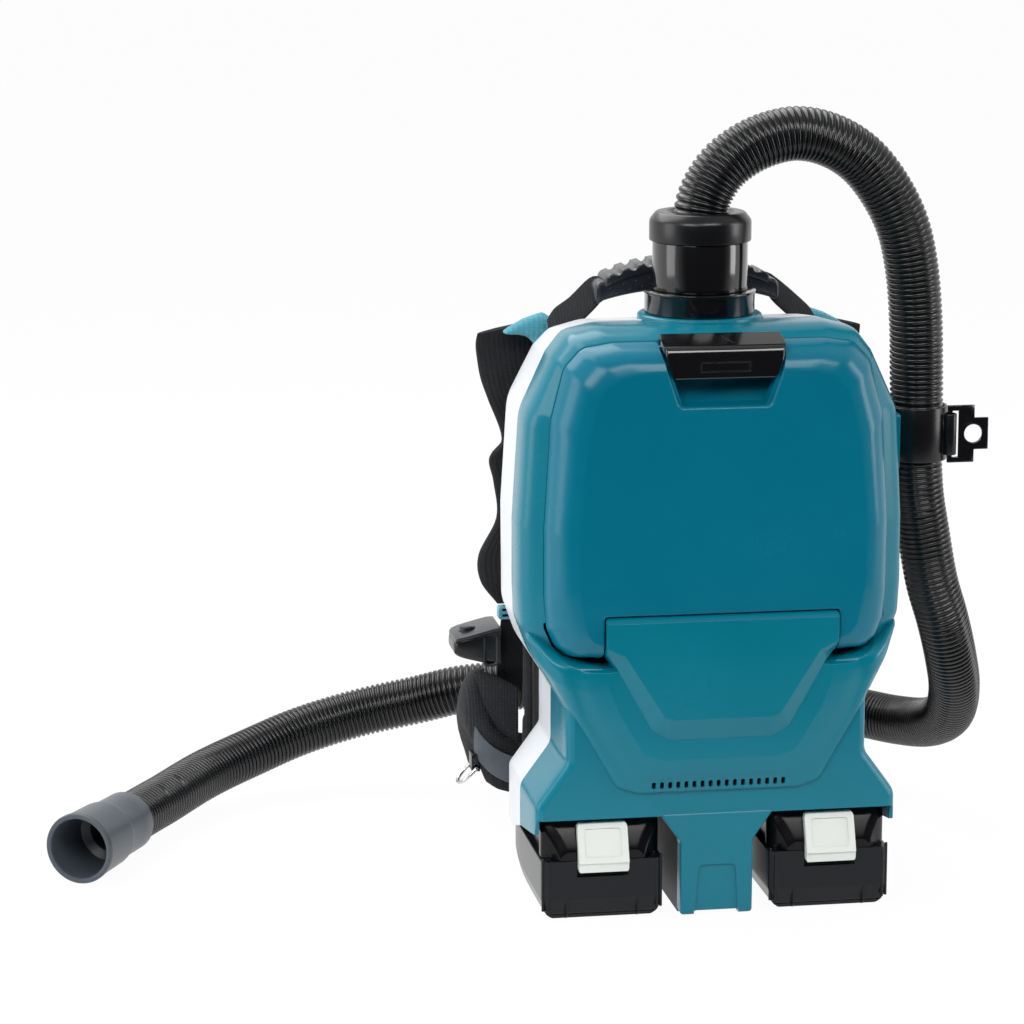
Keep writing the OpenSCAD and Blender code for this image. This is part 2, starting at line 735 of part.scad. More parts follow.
// Point at a given length along the hose
function place(s, a = 0, b = len(fine) - 1) =
    b - a <= 1
        ? fine[a] + (fine[b] - fine[a]) * (s - run[a]) / (run[b] - run[a])
        : let (m = floor((a + b) / 2)) s < run[m] ? place(s, a, m) : place(s, m, b);
function heading(s) =
    s < 2 ? [0, 0, 1] : s > hose_l - 2 ? unit(cuff_dir)
        : unit(place(min(hose_l, s + 3)) - place(max(0, s - 3)));
// Side vectors carried along without twist
function carried(dirs, u, i = 0, out = []) =
    i == len(dirs) ? out
        : let (v = unit(u - (u * dirs[i]) * dirs[i])) carried(dirs, v, i + 1, concat(out, [v]));
function tube_rings(stops, radii, sides) =
    let (dirs = [for (s = stops) heading(s)], ups = carried(dirs, [0, 1, 0]))
    [for (k = [0:len(stops) - 1])
        let (side = cross(dirs[k], ups[k]), c = place(stops[k]))
        [for (i = [0:sides - 1])
            c + radii[k] * (side * cos(i * 360 / sides) + ups[k] * sin(i * 360 / sides))]];

hose_sides = 8;
rib_pitch = hose_l / hose_ribs;
bore_steps = 84;
outer_rings = tube_rings(
    concat([0], [for (i = [0:hose_ribs - 1]) each [(i + 0.3) * rib_pitch, (i + 0.8) * rib_pitch]],
    [hose_l]),
    concat([hose_valley_r], [for (i = [0:hose_ribs - 1]) each [hose_r, hose_valley_r]], [hose_valley_r]),
    hose_sides);
inner_rings = tube_rings([for (i = [0:bore_steps]) i * hose_l / bore_steps],
    [for (i = [0:bore_steps]) hose_bore_r], hose_sides);

// Closed skin over rings, the last joined to the first
module ring_skin(rings) {
    n = len(rings[0]);
    m = len(rings);
    polyhedron([for (r = rings) each r], [for (k = [0:m - 1], i = [0:n - 1])
        let (j = (i + 1) % n, q = (k + 1) % m)
        each [[k * n + i, k * n + j, q * n + j], [k * n + i, q * n + j, q * n + i]]]);
}

module hose() {
    color("dimgray")
        ring_skin(concat(outer_rings, [for (k = [bore_steps:-1:0]) inner_rings[k]]));
}

cuff_l = cuff_narrow_l + cuff_wide_l;
module hose_cuff() {
    color("slategray") translate(hose_end) rotate([0, 0, atan2(cuff_dir.y, cuff_dir.x)])
        rotate([0, 90, 0]) rotate_extrude() polygon([
            [hose_bore_r, 0], [hose_r + 2.6, 0], [hose_r + 3, 2], [hose_r + 3.2, cuff_narrow_l],
            [cuff_mouth_r - 1.4, cuff_narrow_l + 2.5], [cuff_mouth_r - 0.6, cuff_l - 4],
            [cuff_mouth_r, cuff_l - 3], [cuff_mouth_r, cuff_l], [cuff_bore_r, cuff_l],
            [cuff_bore_r, cuff_narrow_l - 2], [hose_bore_r, cuff_narrow_l - 5]]);
}

// ---------- dust chamber ----------

flange_z = roof_z - 26;
flange_x = 43;
flange_y0 = -40;
flange_y1 = 32;
module bag_holder() {
    color("dimgray") difference() {
        union() {
            block([-flange_x - 3, flange_y0, socket_low_z + 3], [flange_x + 3, flange_y1 + 3, roof_z - 14]);
            both_sides() {
                block([flange_x + 0.6, flange_y0, flange_z - 3],
                [flange_x + 3, flange_y1 + 3, roof_z - 14]);
                block([flange_x - 3, flange_y0, flange_z - 3],
                    [flange_x + 3, flange_y1 + 3, flange_z - face_gap]);
            }
        }
        at_connector() cylinder(r = socket_r + 0.2, h = 500);
    }
}

module bag_flange() {
    color("burlywood") difference() {
        block([-flange_x, flange_y0, flange_z], [flange_x, flange_y1, flange_z + 2.4]);
        at_connector() cylinder(r = 22, h = 500);
    }
}

filter_z = ledge_z + 4 + face_gap;
function soft_power(v) = sign(v) * pow(abs(v), 0.6);
function bag_ring(w, d, z) = [for (a = [0:15:345])
    [w * soft_power(cos(a)), conn_y + 4 + d * soft_power(sin(a)), z]];
function neck_ring(z) = [for (a = [0:15:345]) [24 * cos(a), conn_y + 24 * sin(a), z]];
module dust_bag() {
    top = flange_z - face_gap;
    low = filter_z + filter_h + 3;
    color("ivory") loft([neck_ring(top), neck_ring(top - 4), bag_ring(bag_half_w - 14, 32, top - 16),
        bag_ring(bag_half_w, 41, top - 46), bag_ring(bag_half_w, 41, top - 90),
        bag_ring(bag_half_w - 8, 35, low + 11), bag_ring(bag_half_w - 26, 24, low)]);
}

filter_y0 = -28;
filter_y1 = 42;
filter_rim = 4;
module filter_frame() {
    color("gray") difference() {
        block([-filter_half_w, filter_y0, filter_z], [filter_half_w, filter_y1, filter_z + filter_h]);
        block([-filter_half_w + filter_rim, filter_y0 + filter_rim, filter_z - 1],
            [filter_half_w - filter_rim, filter_y1 - filter_rim, filter_z + filter_h + 1]);
    }
}

module filter_pleats() {
    half = filter_half_w - filter_rim - 0.1;
    step = 2 * half / pleats;
    low = filter_z + 2;
    high = filter_z + filter_h - 4.5;
    under = [for (i = [0:pleats]) [-half + i * step, i % 2 == 0 ? low : high]];
    over = [for (i = [pleats:-1:0]) [under[i].x, under[i].y + 2.6]];
    color("ivory") slab(concat(under, over), filter_y0 + filter_rim + 0.1, filter_y1 - filter_rim - 0.1);
}

module filter_deck() {
    color("dimgray") difference() {
        union() {
            flat_slab(mirrored([[96.8, 51.5], [100.9, 44.8], [101, -38],
            [88, -51.5]]), ledge_z, ledge_z + 4);
            at_motor() translate([0, 0, ledge_z - 4]) cylinder(r = 38, h = 5);
        }
        at_motor() cylinder(r = 26, h = 400);
    }
}

// ---------- motor and fan ----------

module at_motor() {
    translate([0, motor_y, 0]) children();
}

can_z0 = 80;
can_z1 = 124;
shroud_z1 = 152;
bearing_r = 9;
bearing_h = 6;
module motor_can() {
    color("silver") at_motor() difference() {
        translate([0, 0, can_z0]) cylinder(r = can_r, h = can_z1 - can_z0);
        translate([0, 0, can_z0 + 3 + bearing_h])
            cylinder(r = can_r - 2, h = can_z1 - can_z0 - 6 - 2 * bearing_h);
        translate([0, 0, can_z0 - 1]) cylinder(r = shaft_r + 2, h = 100);
        translate([0, 0, can_z0 + 3]) cylinder(r = bearing_r + 0.02, h = bearing_h + 1);
        translate([0, 0, can_z1 - 4 - bearing_h]) cylinder(r = bearing_r + 0.02, h = bearing_h + 1);
    }
}

module motor_bearings() {
    color("silver") at_motor() {
        tube(bearing_r, shaft_r + pin_play, can_z0 + 3, can_z0 + 2.8 + bearing_h);
        tube(bearing_r, shaft_r + pin_play, can_z1 - 2.8 - bearing_h, can_z1 - 3);
    }
}

module motor_shaft() {
    color("silver") at_motor() translate([0, 0, can_z0 - 2]) cylinder(r = shaft_r, h = 66);
}

module rotor_core() {
    color("saddlebrown") at_motor() tube(17, shaft_r + eps, can_z0 + 14, can_z1 - 14);
}

module stator() {
    color("chocolate") at_motor() tube(can_r - 2.02, 18, can_z0 + 10, can_z1 - 10);
}

module impeller() {
    color("gray") at_motor() difference() {
        union() {
            translate([0, 0, 130]) cylinder(r = fan_r, h = 2);
            translate([0, 0, 130]) cylinder(r = 9, h = 12);
            for (a = [0:40:320]) rotate([0, 0, a]) block([7, -0.8, 131], [fan_r - 1, 0.8, 142]);
        }
        translate([0, 0, 100]) cylinder(r = shaft_r + eps, h = 100);
    }
}

module fan_shroud() {
    color("dimgray") at_motor() difference() {
        translate([0, 0, can_z1]) cylinder(r = fan_r + 5, h = shroud_z1 - can_z1);
        translate([0, 0, can_z1 + 3]) cylinder(r = fan_r + 2.4, h = shroud_z1 - can_z1 - 6);
        cylinder(r = 20, h = 400);
        for (a = [0:45:315]) rotate([0, 0, a]) block([fan_r, -5, can_z1 + 5], [fan_r + 10, 5, can_z1 + 16]);
    }
}

module motor_damper() {
    color("dimgray") at_motor() tube(36, 26, shroud_z1, ledge_z - 4);
}

module motor_cradle() {
    color("dimgray") at_motor() difference() {
        union() {
            tube(can_r + 4, can_r + face_gap, can_z0 - eps, can_z0 + 14);
            tube(can_r + 4, 20, deck_z + deck_t, can_z0);
        }
        for (a = [0:60:300]) rotate([0, 0, a]) block([15, -7, deck_z + deck_t + 3], [60, 7, can_z0 - 3]);
    }
}

board_y = 46;
module circuit_board() {
    color("darkgreen") {
        block([-46, board_y, 76], [46, board_y + 1.6, 148]);
        both_sides() for (z = [82, 142]) y_rod(3, 40, board_y + 1.6 - eps, back_y - wall, z);
        for (x = [-30, -14]) y_rod(6, x, board_y - 9, board_y + eps, 96);
        block([6, board_y - 6, 84], [34, board_y + eps, 102]);
        block([-34, board_y - 3, 112], [-14, board_y + eps, 130]);
        block([0, board_y - 4, 110], [26, board_y + eps, 120]);
    }
}

// ---------- batteries ----------

battery_back_y = battery_y + battery_l;
module battery_case() {
    w = battery_half_w;
    function low(x, z) = mirrored([[x - 6, z], [x - 3.4, z + 1.6], [x, step_z - 8], [x, step_z]]);
    color("black") difference() {
        union() {

            loft([at_depth(low(w - 3, battery_z + 2), battery_y), at_depth(low(w, battery_z), battery_y + 4),
                at_depth(low(w, battery_z), battery_back_y - 26),
                at_depth(low(w - 1.5, battery_z + 9), battery_back_y - 2)]);
            // ribs on the front corners
            both_sides() {
                block([w - 6.4, battery_y - 1, battery_z + 5], [w - 4.6, battery_y + 4, step_z]);
                block([w - 10.8, battery_y - 0.6, battery_z + 5], [w - 9.4, battery_y + 4, step_z - 4]);
            }
        }
        block([-cell_l / 2 - 0.4, battery_y + 3, battery_z + 2.4],
            [cell_l / 2 + 0.4, battery_y + 3.6 + 10 * cell_r + 1, step_z + 1]);
        button_seat();
    }
}

slope_y = 11;
module battery_top() {
    t = top_half_w;
    function cap(x, z) = mirrored([[x, step_z + face_gap], [x, z - 3], [x - 4, z]]);
    color("black") difference() {
        loft([at_depth(cap(t + 1, step_z + 5), battery_y + 0.6),
            at_depth(cap(t, battery_top_z), battery_y + slope_y),
            at_depth(cap(t, battery_top_z), battery_back_y)]);
        both_sides() block([t - 4, battery_y + 22, rail_low_z], [t + 5, 100, rail_low_z + groove_h]);
        block([-t + 3, battery_y + 16, step_z - 1], [t - 3, battery_back_y - 4, rail_low_z - 3]);
        button_seat();
    }
}

// The release button lies on the slope and slides down along it
button_half_w = 15.4;
button_z0 = 35;
button_z1 = 60;
module button_seat() {
    side_slab([[-80, button_z0 - button_travel - 0.6], [-80, 80], [-58, 80], [-61.8, button_z1],
        [-68, button_z0 - button_travel - 0.6]], -button_half_w - 0.4, button_half_w + 0.4);
}

module battery_button() {
    color("whitesmoke") difference() {
        side_slab([[-75, button_z0], [-75.4, button_z0 + 5.4], [-67.4, button_z1],
            [-62.6, button_z1], [-67.6, button_z0 + 4], [-69, button_z0]], -button_half_w, button_half_w);
        translate([0, -71.5, 50]) rotate([-22.2, 0, 0]) block([-11, -6, -7], [11, 0.9, 7]);
    }
}

module battery_cells() {
    color("steelblue") for (row = [0, 1], i = [0:4])
        x_rod(cell_r, -cell_l / 2, cell_l / 2, battery_y + 3.4 + cell_r + i * (2 * cell_r + 0.1),
            battery_z + 2.7 + cell_r + row * (2 * cell_r + 0.1));
}

module at_left() { translate([-battery_x, 0, 0]) children(); }
module at_right() { translate([battery_x, 0, 0]) children(); }
module battery_left_case() { at_left() battery_case(); }
module battery_left_top() { at_left() battery_top(); }
module battery_left_cells() { at_left() battery_cells(); }
module battery_left_button() { at_left() battery_button(); }
module battery_right_case() { at_right() battery_case(); }
module battery_right_top() { at_right() battery_top(); }
module battery_right_cells() { at_right() battery_cells(); }
module battery_right_button() { at_right() battery_button(); }

// ---------- carry handle ----------

anchor_top_z = roof_z - 3.4;
handle_half = 82;
function arch_z(x) = anchor_top_z
    + (handle_z - anchor_top_z) * (1 - pow(min(1, abs(x) / handle_half), 2.3));
// Outline of the webbing in front view, grown by d
function webbing_arch(d) = concat(
    [for (i = [-10:10]) let (x = handle_half * i / 10) [x * (1 + d / 60), arch_z(x) + d]],
    [[handle_half + d, anchor_top_z - 6], [handle_half - webbing_t - d, anchor_top_z - 6]],
    [for (i = [10:-1:-10]) let (x = handle_half * i / 10)
        [x - sign(x) * min(webbing_t + d, abs(x)) * pow(abs(i) / 10, 2), arch_z(x) - webbing_t - d]],
    [[-handle_half + webbing_t + d, anchor_top_z - 6], [-handle_half - d, anchor_top_z - 6]]);

module handle_webbing() {
    color("black") slab(webbing_arch(0), handle_y - handle_w / 2, handle_y + handle_w / 2);
}

grip_half = 58;
function grip_z(x, h) = arch_z(x) + h * (1 - 0.3 * pow(x / grip_half, 2));
module handle_grip() {
    y0 = handle_y - handle_w / 2;
    y1 = handle_y + handle_w / 2;
    color("dimgray") difference() {
        slab(concat([for (i = [-8:8]) [grip_half * i / 8, grip_z(grip_half * i / 8, 5)]],
            [for (i = [8:-1:-8]) [grip_half * i / 8, grip_z(grip_half * i / 8, -10)]]), y0 - 2, y1 + 2);
        slab(webbing_arch(0.3), y0 - 0.3, y1 + 0.3);
    }
}

module handle_anchor(d) {
    block([handle_half - 12 - d, handle_y - 14 - d, roof_z - 12 - d],
        [handle_half + 5 + d, handle_y + 12 + d, anchor_top_z + d]);
}

module handle_anchors() {
    color("black") difference() {
        both_sides() handle_anchor(0);
        slab(webbing_arch(0.1), handle_y - handle_w / 2 - 0.1, handle_y + handle_w / 2 + 0.1);
    }
}

// ---------- harness ----------

plate_y0 = back_y + face_gap;
plate_y1 = plate_y0 + plate_t;
pad_y0 = plate_y1 + face_gap;
pad_y1 = pad_y0 + pad_t;
function rounded_box(w, z0, z1, r) = mirrored(concat(
    [for (a = [-90:30:0]) [w - r + r * cos(a), z0 + r + r * sin(a)]],
    [for (a = [0:30:90]) [w - r + r * cos(a), z1 - r + r * sin(a)]]));

module back_plate() {
    color("black") slab(rounded_box(92, 34, 330, 22), plate_y0, plate_y1);
}

pad_z0 = 18;
pad_z1 = 318;
module back_pad() {
    function pad_at(d) = rounded_box(pad_half_w - d, pad_z0 + d, pad_z1 - d, 24);
    color("black") difference() {
        loft([at_depth(pad_at(2.5), pad_y0), at_depth(pad_at(0), pad_y0 + 5),
            at_depth(pad_at(1), pad_y1 - 6),
            at_depth(pad_at(5), pad_y1 - 1.5), at_depth(pad_at(14), pad_y1)]);
        // air channels
        both_sides() block([30, pad_y1 - 4, pad_z0 - 1], [37, pad_y1 + 9, pad_z1 + 1]);
        for (z = [96, 168, 240])
            block([-pad_half_w - 1, pad_y1 - 4, z - 3], [pad_half_w + 1, pad_y1 + 9, z + 3]);
    }
}

module shoulder_yoke() {
    function top(d) = inset(mirrored([[92, pad_z1 + 1], [111, pad_z1 + 4], [112, 334], [104, 343],
        [88, 349], [60, 351]]), d);
    color("skyblue") loft([at_depth(top(3), pad_y0), at_depth(top(0), pad_y0 + 5),
        at_depth(top(0.5), pad_y1 - 5), at_depth(top(5), pad_y1)]);
}

// Section of a band: part of its half thickness, part of its half height
band_section = [[1, -0.8], [1, 0], [1, 0.8], [0.4, 1], [-0.4, 1], [-1, 0.8], [-1, 0], [-1, -0.8],
    [-0.4, -1], [0.4, -1]];
band_cap = [[9, 0, 7], [9, 7, 8], [0, 1, 6], [0, 6, 7], [1, 2, 5], [1, 5, 6], [2, 3, 4], [2, 4, 5]];
// Stations of a band: [x, y, z, half thickness, bow, half height as a vector]
function band_rings(st) = [for (k = [0:len(st) - 1])
    let (a = st[max(0, k - 1)], b = st[min(len(st) - 1, k + 1)], c = st[k],
         u = [c[5], c[6], c[7]], s = unit(cross([b[0] - a[0], b[1] - a[1], b[2] - a[2]], u)))
    [for (q = band_section)
        [c[0], c[1], c[2]] + s * (q.x * c[3] + c[4] * q.y * q.y) + u * q.y]];
module band(st, n) {
    loft(band_rings(smooth(st, n)), band_cap);
}

strap_u = strap_w / 2;
strap_h = strap_t / 2;
strap_path = [
    [-99, pad_y1 + 3.8, 337, 2.2, 0, strap_u, 0, 0],
    [-98, pad_y1 + strap_h + 1, 324, strap_h, 0, strap_u, 0, 0],
    [-95, pad_y1 + strap_h + 6, 308, strap_h, 0, strap_u, 0, 0],
    [-89, 104, 292, strap_h, 0, strap_u, 0, 0], [-81, 118, 266, strap_h, 0, strap_u, 0, 0],
    [-91, 125, 248, strap_h, 0, strap_u, 0, 0], [-85, 126, 226, strap_h, 0, strap_u, 0, 0],
    [-85, 121, 206, strap_h, 0, strap_u, 0, 0], [-98, 112, 187, strap_h, 0, strap_u, 0, 0],
    [-98, 104, 172, strap_h, 0, strap_u - 2, 0, 0], [-94, 99, 160, 2.4, 0, strap_u - 9, 0, 0]];
module shoulder_strap_left() {
    color("black") band(strap_path, 2);
}
module shoulder_strap_right() {
    color("black") mirror([1, 0, 0]) band(strap_path, 2);
}

belt_h = belt_t / 2;
belt_front = [
    [-84, pad_y1 + belt_h, 53, belt_h - 0.8, 0, 0, 0, 18],
    [-100, pad_y1 + belt_h + 0.6, 55, belt_h, 0, 0, 0, 19],
    [-113, 91, 61, belt_h, 2, 0, 0, 22], [-118, 99, 69, belt_h, 5, 0, 0, 25],
    [-122, 111, 84, belt_h, 8, 0, 0, 28], [-123, 128, 86, belt_h, 8, 0, 0, 27],
    [-121, 150, 78, belt_h, 6, 0, 0, 26], [-116, 172, 64, belt_h, 4, 0, 0, 25]];
belt_left = concat(belt_front, [
    [-110, 194, 48, belt_h, 3, 0, 0, 22], [-105, 213, 36, belt_h, 2, 0, 0, 19],
    [-99, 226, 30, belt_h - 2, 0, 0, 0, 17]]);
belt_right = concat(belt_front, [
    [-111, 186, 46, belt_h, 3, 0, 0, 22], [-106, 198, 30, belt_h, 2, 0, 0, 17],
    [-101, 207, 22, belt_h - 2, 0, 0, 0, 14]]);
// The left wing, grown to both sides by d
module left_wing(d) {
    band([for (b = belt_left) [b[0], b[1], b[2], b[3] + d, b[4], 0, 0, b[7] + d]], 2);
}
module hip_belt_left() {
    color("black") left_wing(0);
}
module hip_belt_right() {
    color("black") mirror([1, 0, 0]) band(belt_right, 2);
}

web_h = webbing_t / 2;
module belt_webbing() {
    color("black") {
        band([[-98.6, 226.8, 29.5, web_h, 0, 0, 0, 12.5], [-78, 243, 24, web_h, 0, 0, 0, 12.5],
            [-54, 249, 19, web_h, 0, 0, 0, 12.5], [-30.2, 251, 17, web_h, 0, 0, 0, 12.5]], 2);
        band([[30.2, 251, 17, web_h, 0, 0, 0, 12.5], [56, 243, 17, web_h, 0, 0, 0, 12.5],
            [80, 229, 18, web_h, 0, 0, 0, 12.5], [100.6, 207.8, 21.5, web_h, 0, 0, 0, 12.5]], 2);
    }
}

module strap_webbing() {
    color("black") both_sides() band([[-94, 99, 158.6, web_h, 0, 10.3, 0, 0],
        [-96, 100, 142, web_h, 0, 10.3, 0, 0], [-97, 101, 126, web_h, 0, 10.3, 0, 0],
        [-98, 103, 104, web_h, 0, 10.3, 0, 0]], 1);
}

module buckle_socket() {
    color("black") difference() {
        block([-30, 245, 3], [-1, 257, 31]);
        block([-24, 247.4, 6], [0, 254.6, 28]);
        // windows for the prongs
        block([-20, 247.4, 0], [-10, 254.6, 34]);
    }
}

module buckle_plug() {
    color("black") {
        block([-0.4, 246, 4], [30, 256, 30]);
        for (z = [7, 23]) block([-19, 248.4, z], [0, 253.6, z + 4]);
        block([-15, 249.4, 14.5], [0, 252.6, 19.5]);
    }
}

ring_x = -122.8;
ring_y = 100;
ring_z = 53;
ring_wire_r = 1.3;
module ring_tab() {
    color("black") difference() {
        block([ring_x - 2.7, ring_y - 6, ring_z - 2.7], [ring_x + 7, ring_y + 6, ring_z + 9]);
        left_wing(0.15);
        y_rod(ring_wire_r + 0.4, ring_x, ring_y - 10, ring_y + 10, ring_z);
    }
}

module d_ring() {
    color("silver") translate([ring_x, ring_y, ring_z]) rotate([0, -43.8, 0]) {
        y_rod(ring_wire_r, 0, -9, 9, 0);
        for (y = [-9, 9]) {
            translate([0, y, 0]) sphere(r = ring_wire_r);
            x_rod(ring_wire_r, -6, 0, y, 0);
        }
        translate([-6, 0, 0]) rotate([0, 0, 90]) rotate_extrude(angle = 180)
            translate([9, 0]) circle(r = ring_wire_r, $fn = 24);
    }
}

box_z = 134;
box_r = 12;
module control_box() {
    color("black") difference() {
        union() {
            y_rod(box_r, -125, 86, 120, box_z);
            block([-125, 86, box_z - box_r], [-107.6, 120, box_z + box_r]);
            // cable gland
            block([-116, 100, box_z + box_r - eps], [-109, 107, box_z + box_r + 6]);
        }
        y_rod(box_r - 2, -125, 88, 118, box_z);
        block([-125, 88, box_z - box_r + 2], [-109.6, 118, box_z + box_r - 2]);
        translate([-127, 103, box_z]) cylinder(r = 5.4, h = 30);
    }
}

module control_button() {
    color("dimgray") translate([-127, 103, 0]) {
        translate([0, 0, box_z + 4]) cylinder(r = 5, h = box_r - 2.4);
        translate([0, 0, box_z + 4]) cylinder(r = 5.9, h = 1.8);
    }
}

// ---------- hose holder ----------

loop_x = 159.5;
loop_y = holder_y - 13;
loop_half_h = 13;
band_r = hose_r + 0.9;
module at_holder() { translate([141.5, holder_y, 0]) children(); }
module hose_band() {
    color("black") {
        difference() {
            union() {
                at_holder() translate([0, 0, holder_z - band_h / 2]) cylinder(r = band_r + 1.8, h = band_h);
                // foot on the ear
                block([ear_x + ear_t, holder_y - 9, holder_z - 13],
                    [141.5 - band_r + 2, holder_y + 6, holder_z + 13]);
                // loop round the plate's bar
                translate([loop_x, loop_y, holder_z - loop_half_h]) cylinder(r = 4.2, h = 2 * loop_half_h);
            }
            at_holder() translate([0, 0, 200]) cylinder(r = band_r, h = 200);
            translate([loop_x, loop_y, 200]) cylinder(r = 2.6, h = 200);
        }
    }
}

plate_x1 = 184;
module band_plate() {
    color("black") difference() {
        union() {
            block([loop_x - 1.5, loop_y - 1.2, holder_z - 18], [plate_x1 - 9, loop_y + 1.2, holder_z + 18]);
            block([plate_x1 - 12, loop_y - 1.2, holder_z - 10], [plate_x1, loop_y + 1.2, holder_z + 10]);
        }
        block([loop_x + 1.5, loop_y - 3, holder_z - 14.5], [loop_x + 5.5, loop_y + 3, holder_z + 14.5]);
        y_rod(plate_hole_r, 174.4, loop_y - 3, loop_y + 3, holder_z);
    }
}

// ---------- assembly ----------
rear_frame();
front_housing();
battery_deck();
terminal_blocks();
front_cover();
cover_hinge_pins();
cover_seal();
cover_latch();
latch_pin();
inlet_socket();
lock_ring();
hose_neck();
swivel_collar();
hose();
hose_cuff();
bag_holder();
bag_flange();
dust_bag();
filter_frame();
filter_pleats();
filter_deck();
fan_shroud();
impeller();
motor_shaft();
rotor_core();
stator();
motor_can();
motor_bearings();
motor_damper();
motor_cradle();
circuit_board();
housing_screws();
battery_left_case();
battery_left_top();
battery_left_cells();
battery_left_button();
battery_right_case();
battery_right_top();
battery_right_cells();
battery_right_button();
handle_webbing();
handle_grip();
handle_anchors();
back_plate();
back_pad();
shoulder_yoke();
shoulder_strap_left();
shoulder_strap_right();
hip_belt_left();
hip_belt_right();
belt_webbing();
strap_webbing();
buckle_socket();
buckle_plug();
ring_tab();
d_ring();
control_box();
control_button();
hose_band();
band_plate();
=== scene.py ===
# %% [markdown]
# # Backpack vacuum cleaner
# The cleaner has a moulded body with a hinged cover, two slide-on batteries, a long ribbed hose
# and a padded harness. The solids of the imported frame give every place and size. This script adds
# the rounded shells, the soft goods and the finishes that a solid model leaves plain.

# %% Load the frame
import math

import bmesh
import bpy
from mathutils import Matrix, Vector, noise


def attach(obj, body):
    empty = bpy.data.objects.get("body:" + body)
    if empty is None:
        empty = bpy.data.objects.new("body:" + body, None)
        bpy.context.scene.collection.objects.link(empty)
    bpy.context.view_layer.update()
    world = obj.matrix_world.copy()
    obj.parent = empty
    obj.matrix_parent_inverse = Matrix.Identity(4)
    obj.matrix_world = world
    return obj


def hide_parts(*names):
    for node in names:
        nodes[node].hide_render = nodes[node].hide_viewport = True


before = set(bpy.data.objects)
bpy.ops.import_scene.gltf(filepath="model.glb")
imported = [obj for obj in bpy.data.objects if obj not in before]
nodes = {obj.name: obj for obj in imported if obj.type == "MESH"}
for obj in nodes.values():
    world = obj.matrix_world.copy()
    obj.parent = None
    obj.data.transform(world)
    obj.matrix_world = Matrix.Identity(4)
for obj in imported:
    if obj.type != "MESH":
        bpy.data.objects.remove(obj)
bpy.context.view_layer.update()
scene = bpy.context.scene
scene.view_settings.view_transform = "Standard"
MM = 0.001

# %% [markdown]
# ## Camera, floor and light
# The camera stands a little to the left of the cleaner and looks slightly down with a long lens,
# as in a catalogue. The studio is a bright room with a dark side behind the camera: flat faces that
# look at the camera stay deep in colour, and rounded edges catch the bright walls. The world's
# strength therefore depends on direction, and the white floor ends a little in front of the
# cleaner. Soft lamps add the highlights and a faint shadow.

# %% Camera
camera_data = bpy.data.cameras.new("camera")
camera = bpy.data.objects.new("camera", camera_data)
scene.collection.objects.link(camera)
camera.location = (-0.4743, -2.1754, 0.6845)
camera.rotation_euler = (math.radians(90 - 11.402), 0, math.radians(-9.386))
camera_data.sensor_width = 36
camera_data.lens = 129.41
camera_data.clip_end = 50
scene.camera = camera


# %% Node helper
def node_in(tree, kind, inputs=None, **settings):
    """Adds a shader node and sets its values; an input may be a value or another node's output."""
    made = tree.nodes.new("ShaderNode" + kind)
    for key, value in settings.items():
        setattr(made, key, value)
    for key, value in (inputs or {}).items():
        if isinstance(value, bpy.types.NodeSocket):
            tree.links.new(value, made.inputs[key])
        else:
            made.inputs[key].default_value = value
    return made


# %% World
world = bpy.data.worlds.new("studio")
scene.world = world
world.use_nodes = True
tree = world.node_tree
tree.nodes.clear()
where = node_in(tree, "TexCoord")
split = node_in(tree, "SeparateXYZ", {0: where.outputs["Generated"]})
side = node_in(tree, "MapRange",
               {0: split.outputs["Y"], 1: -0.7, 2: -0.12, 3: 0.05, 4: 1.0}, interpolation_type="SMOOTHSTEP")
roof = node_in(tree, "MapRange", {0: split.outputs["Z"], 1: 0.15, 2: 0.9, 3: 1.0, 4: 0.55})
strength = node_in(tree, "Math", {0: side.outputs[0], 1: roof.outputs[0]}, operation="MULTIPLY")
sky = node_in(tree, "Background", {"Color": (1, 1, 1, 1), "Strength": strength.outputs[0]})
node_in(tree, "OutputWorld", {"Surface": sky.outputs[0]})


# %% Lamps
def lamp(name, place, aim, size, power):
    data = bpy.data.lights.new(name, "AREA")
    data.shape = "RECTANGLE"
    data.size, data.size_y = size
    data.energy = power
    made = bpy.data.objects.new(name, data)
    scene.collection.objects.link(made)
    made.location = place
    made.rotation_euler = (Vector(aim) - Vector(place)).to_track_quat("-Z", "Y").to_euler()


middle = (0, 0, 0.22)
lamp("key", (-1.3, -1.7, 1.7), middle, (1.3, 1.0), 26)
lamp("front", (0.5, -2.0, 2.1), middle, (1.6, 0.8), 30)
lamp("left", (-1.6, -0.1, 0.5), middle, (0.7, 1.2), 6.5)
lamp("right", (1.7, -0.5, 0.6), middle, (0.5, 1.2), 9)
lamp("top", (-0.6, 0.8, 1.6), middle, (1.6, 1.3), 24)

# %% Floor
bpy.ops.mesh.primitive_plane_add(size=14, location=(0, 7 - 0.45, -0.0002))
floor = bpy.context.object
floor.name = "floor"
paper = bpy.data.materials.new("white_floor")
paper.use_nodes = True
tree = paper.node_tree
tree.nodes.clear()
path = node_in(tree, "LightPath")
seen = node_in(tree, "Math", {0: path.outputs["Is Camera Ray"], 1: path.outputs["Is Glossy Ray"]},
               operation="MAXIMUM")
seen = node_in(tree, "Math", {0: seen.outputs[0], 1: path.outputs["Is Transmission Ray"]},
               operation="MAXIMUM")
share = node_in(tree, "Math", {0: seen.outputs[0], 1: 0.96}, operation="MULTIPLY")
matt = node_in(tree, "BsdfDiffuse", {"Color": (0.93, 0.93, 0.93, 1)})
glow = node_in(tree, "Emission", {"Color": (1, 1, 1, 1), "Strength": 1.0})
blend = node_in(tree, "MixShader", {0: share.outputs[0], 1: matt.outputs[0], 2: glow.outputs[0]})
node_in(tree, "OutputMaterial", {"Surface": blend.outputs[0]})
floor.data.materials.append(paper)


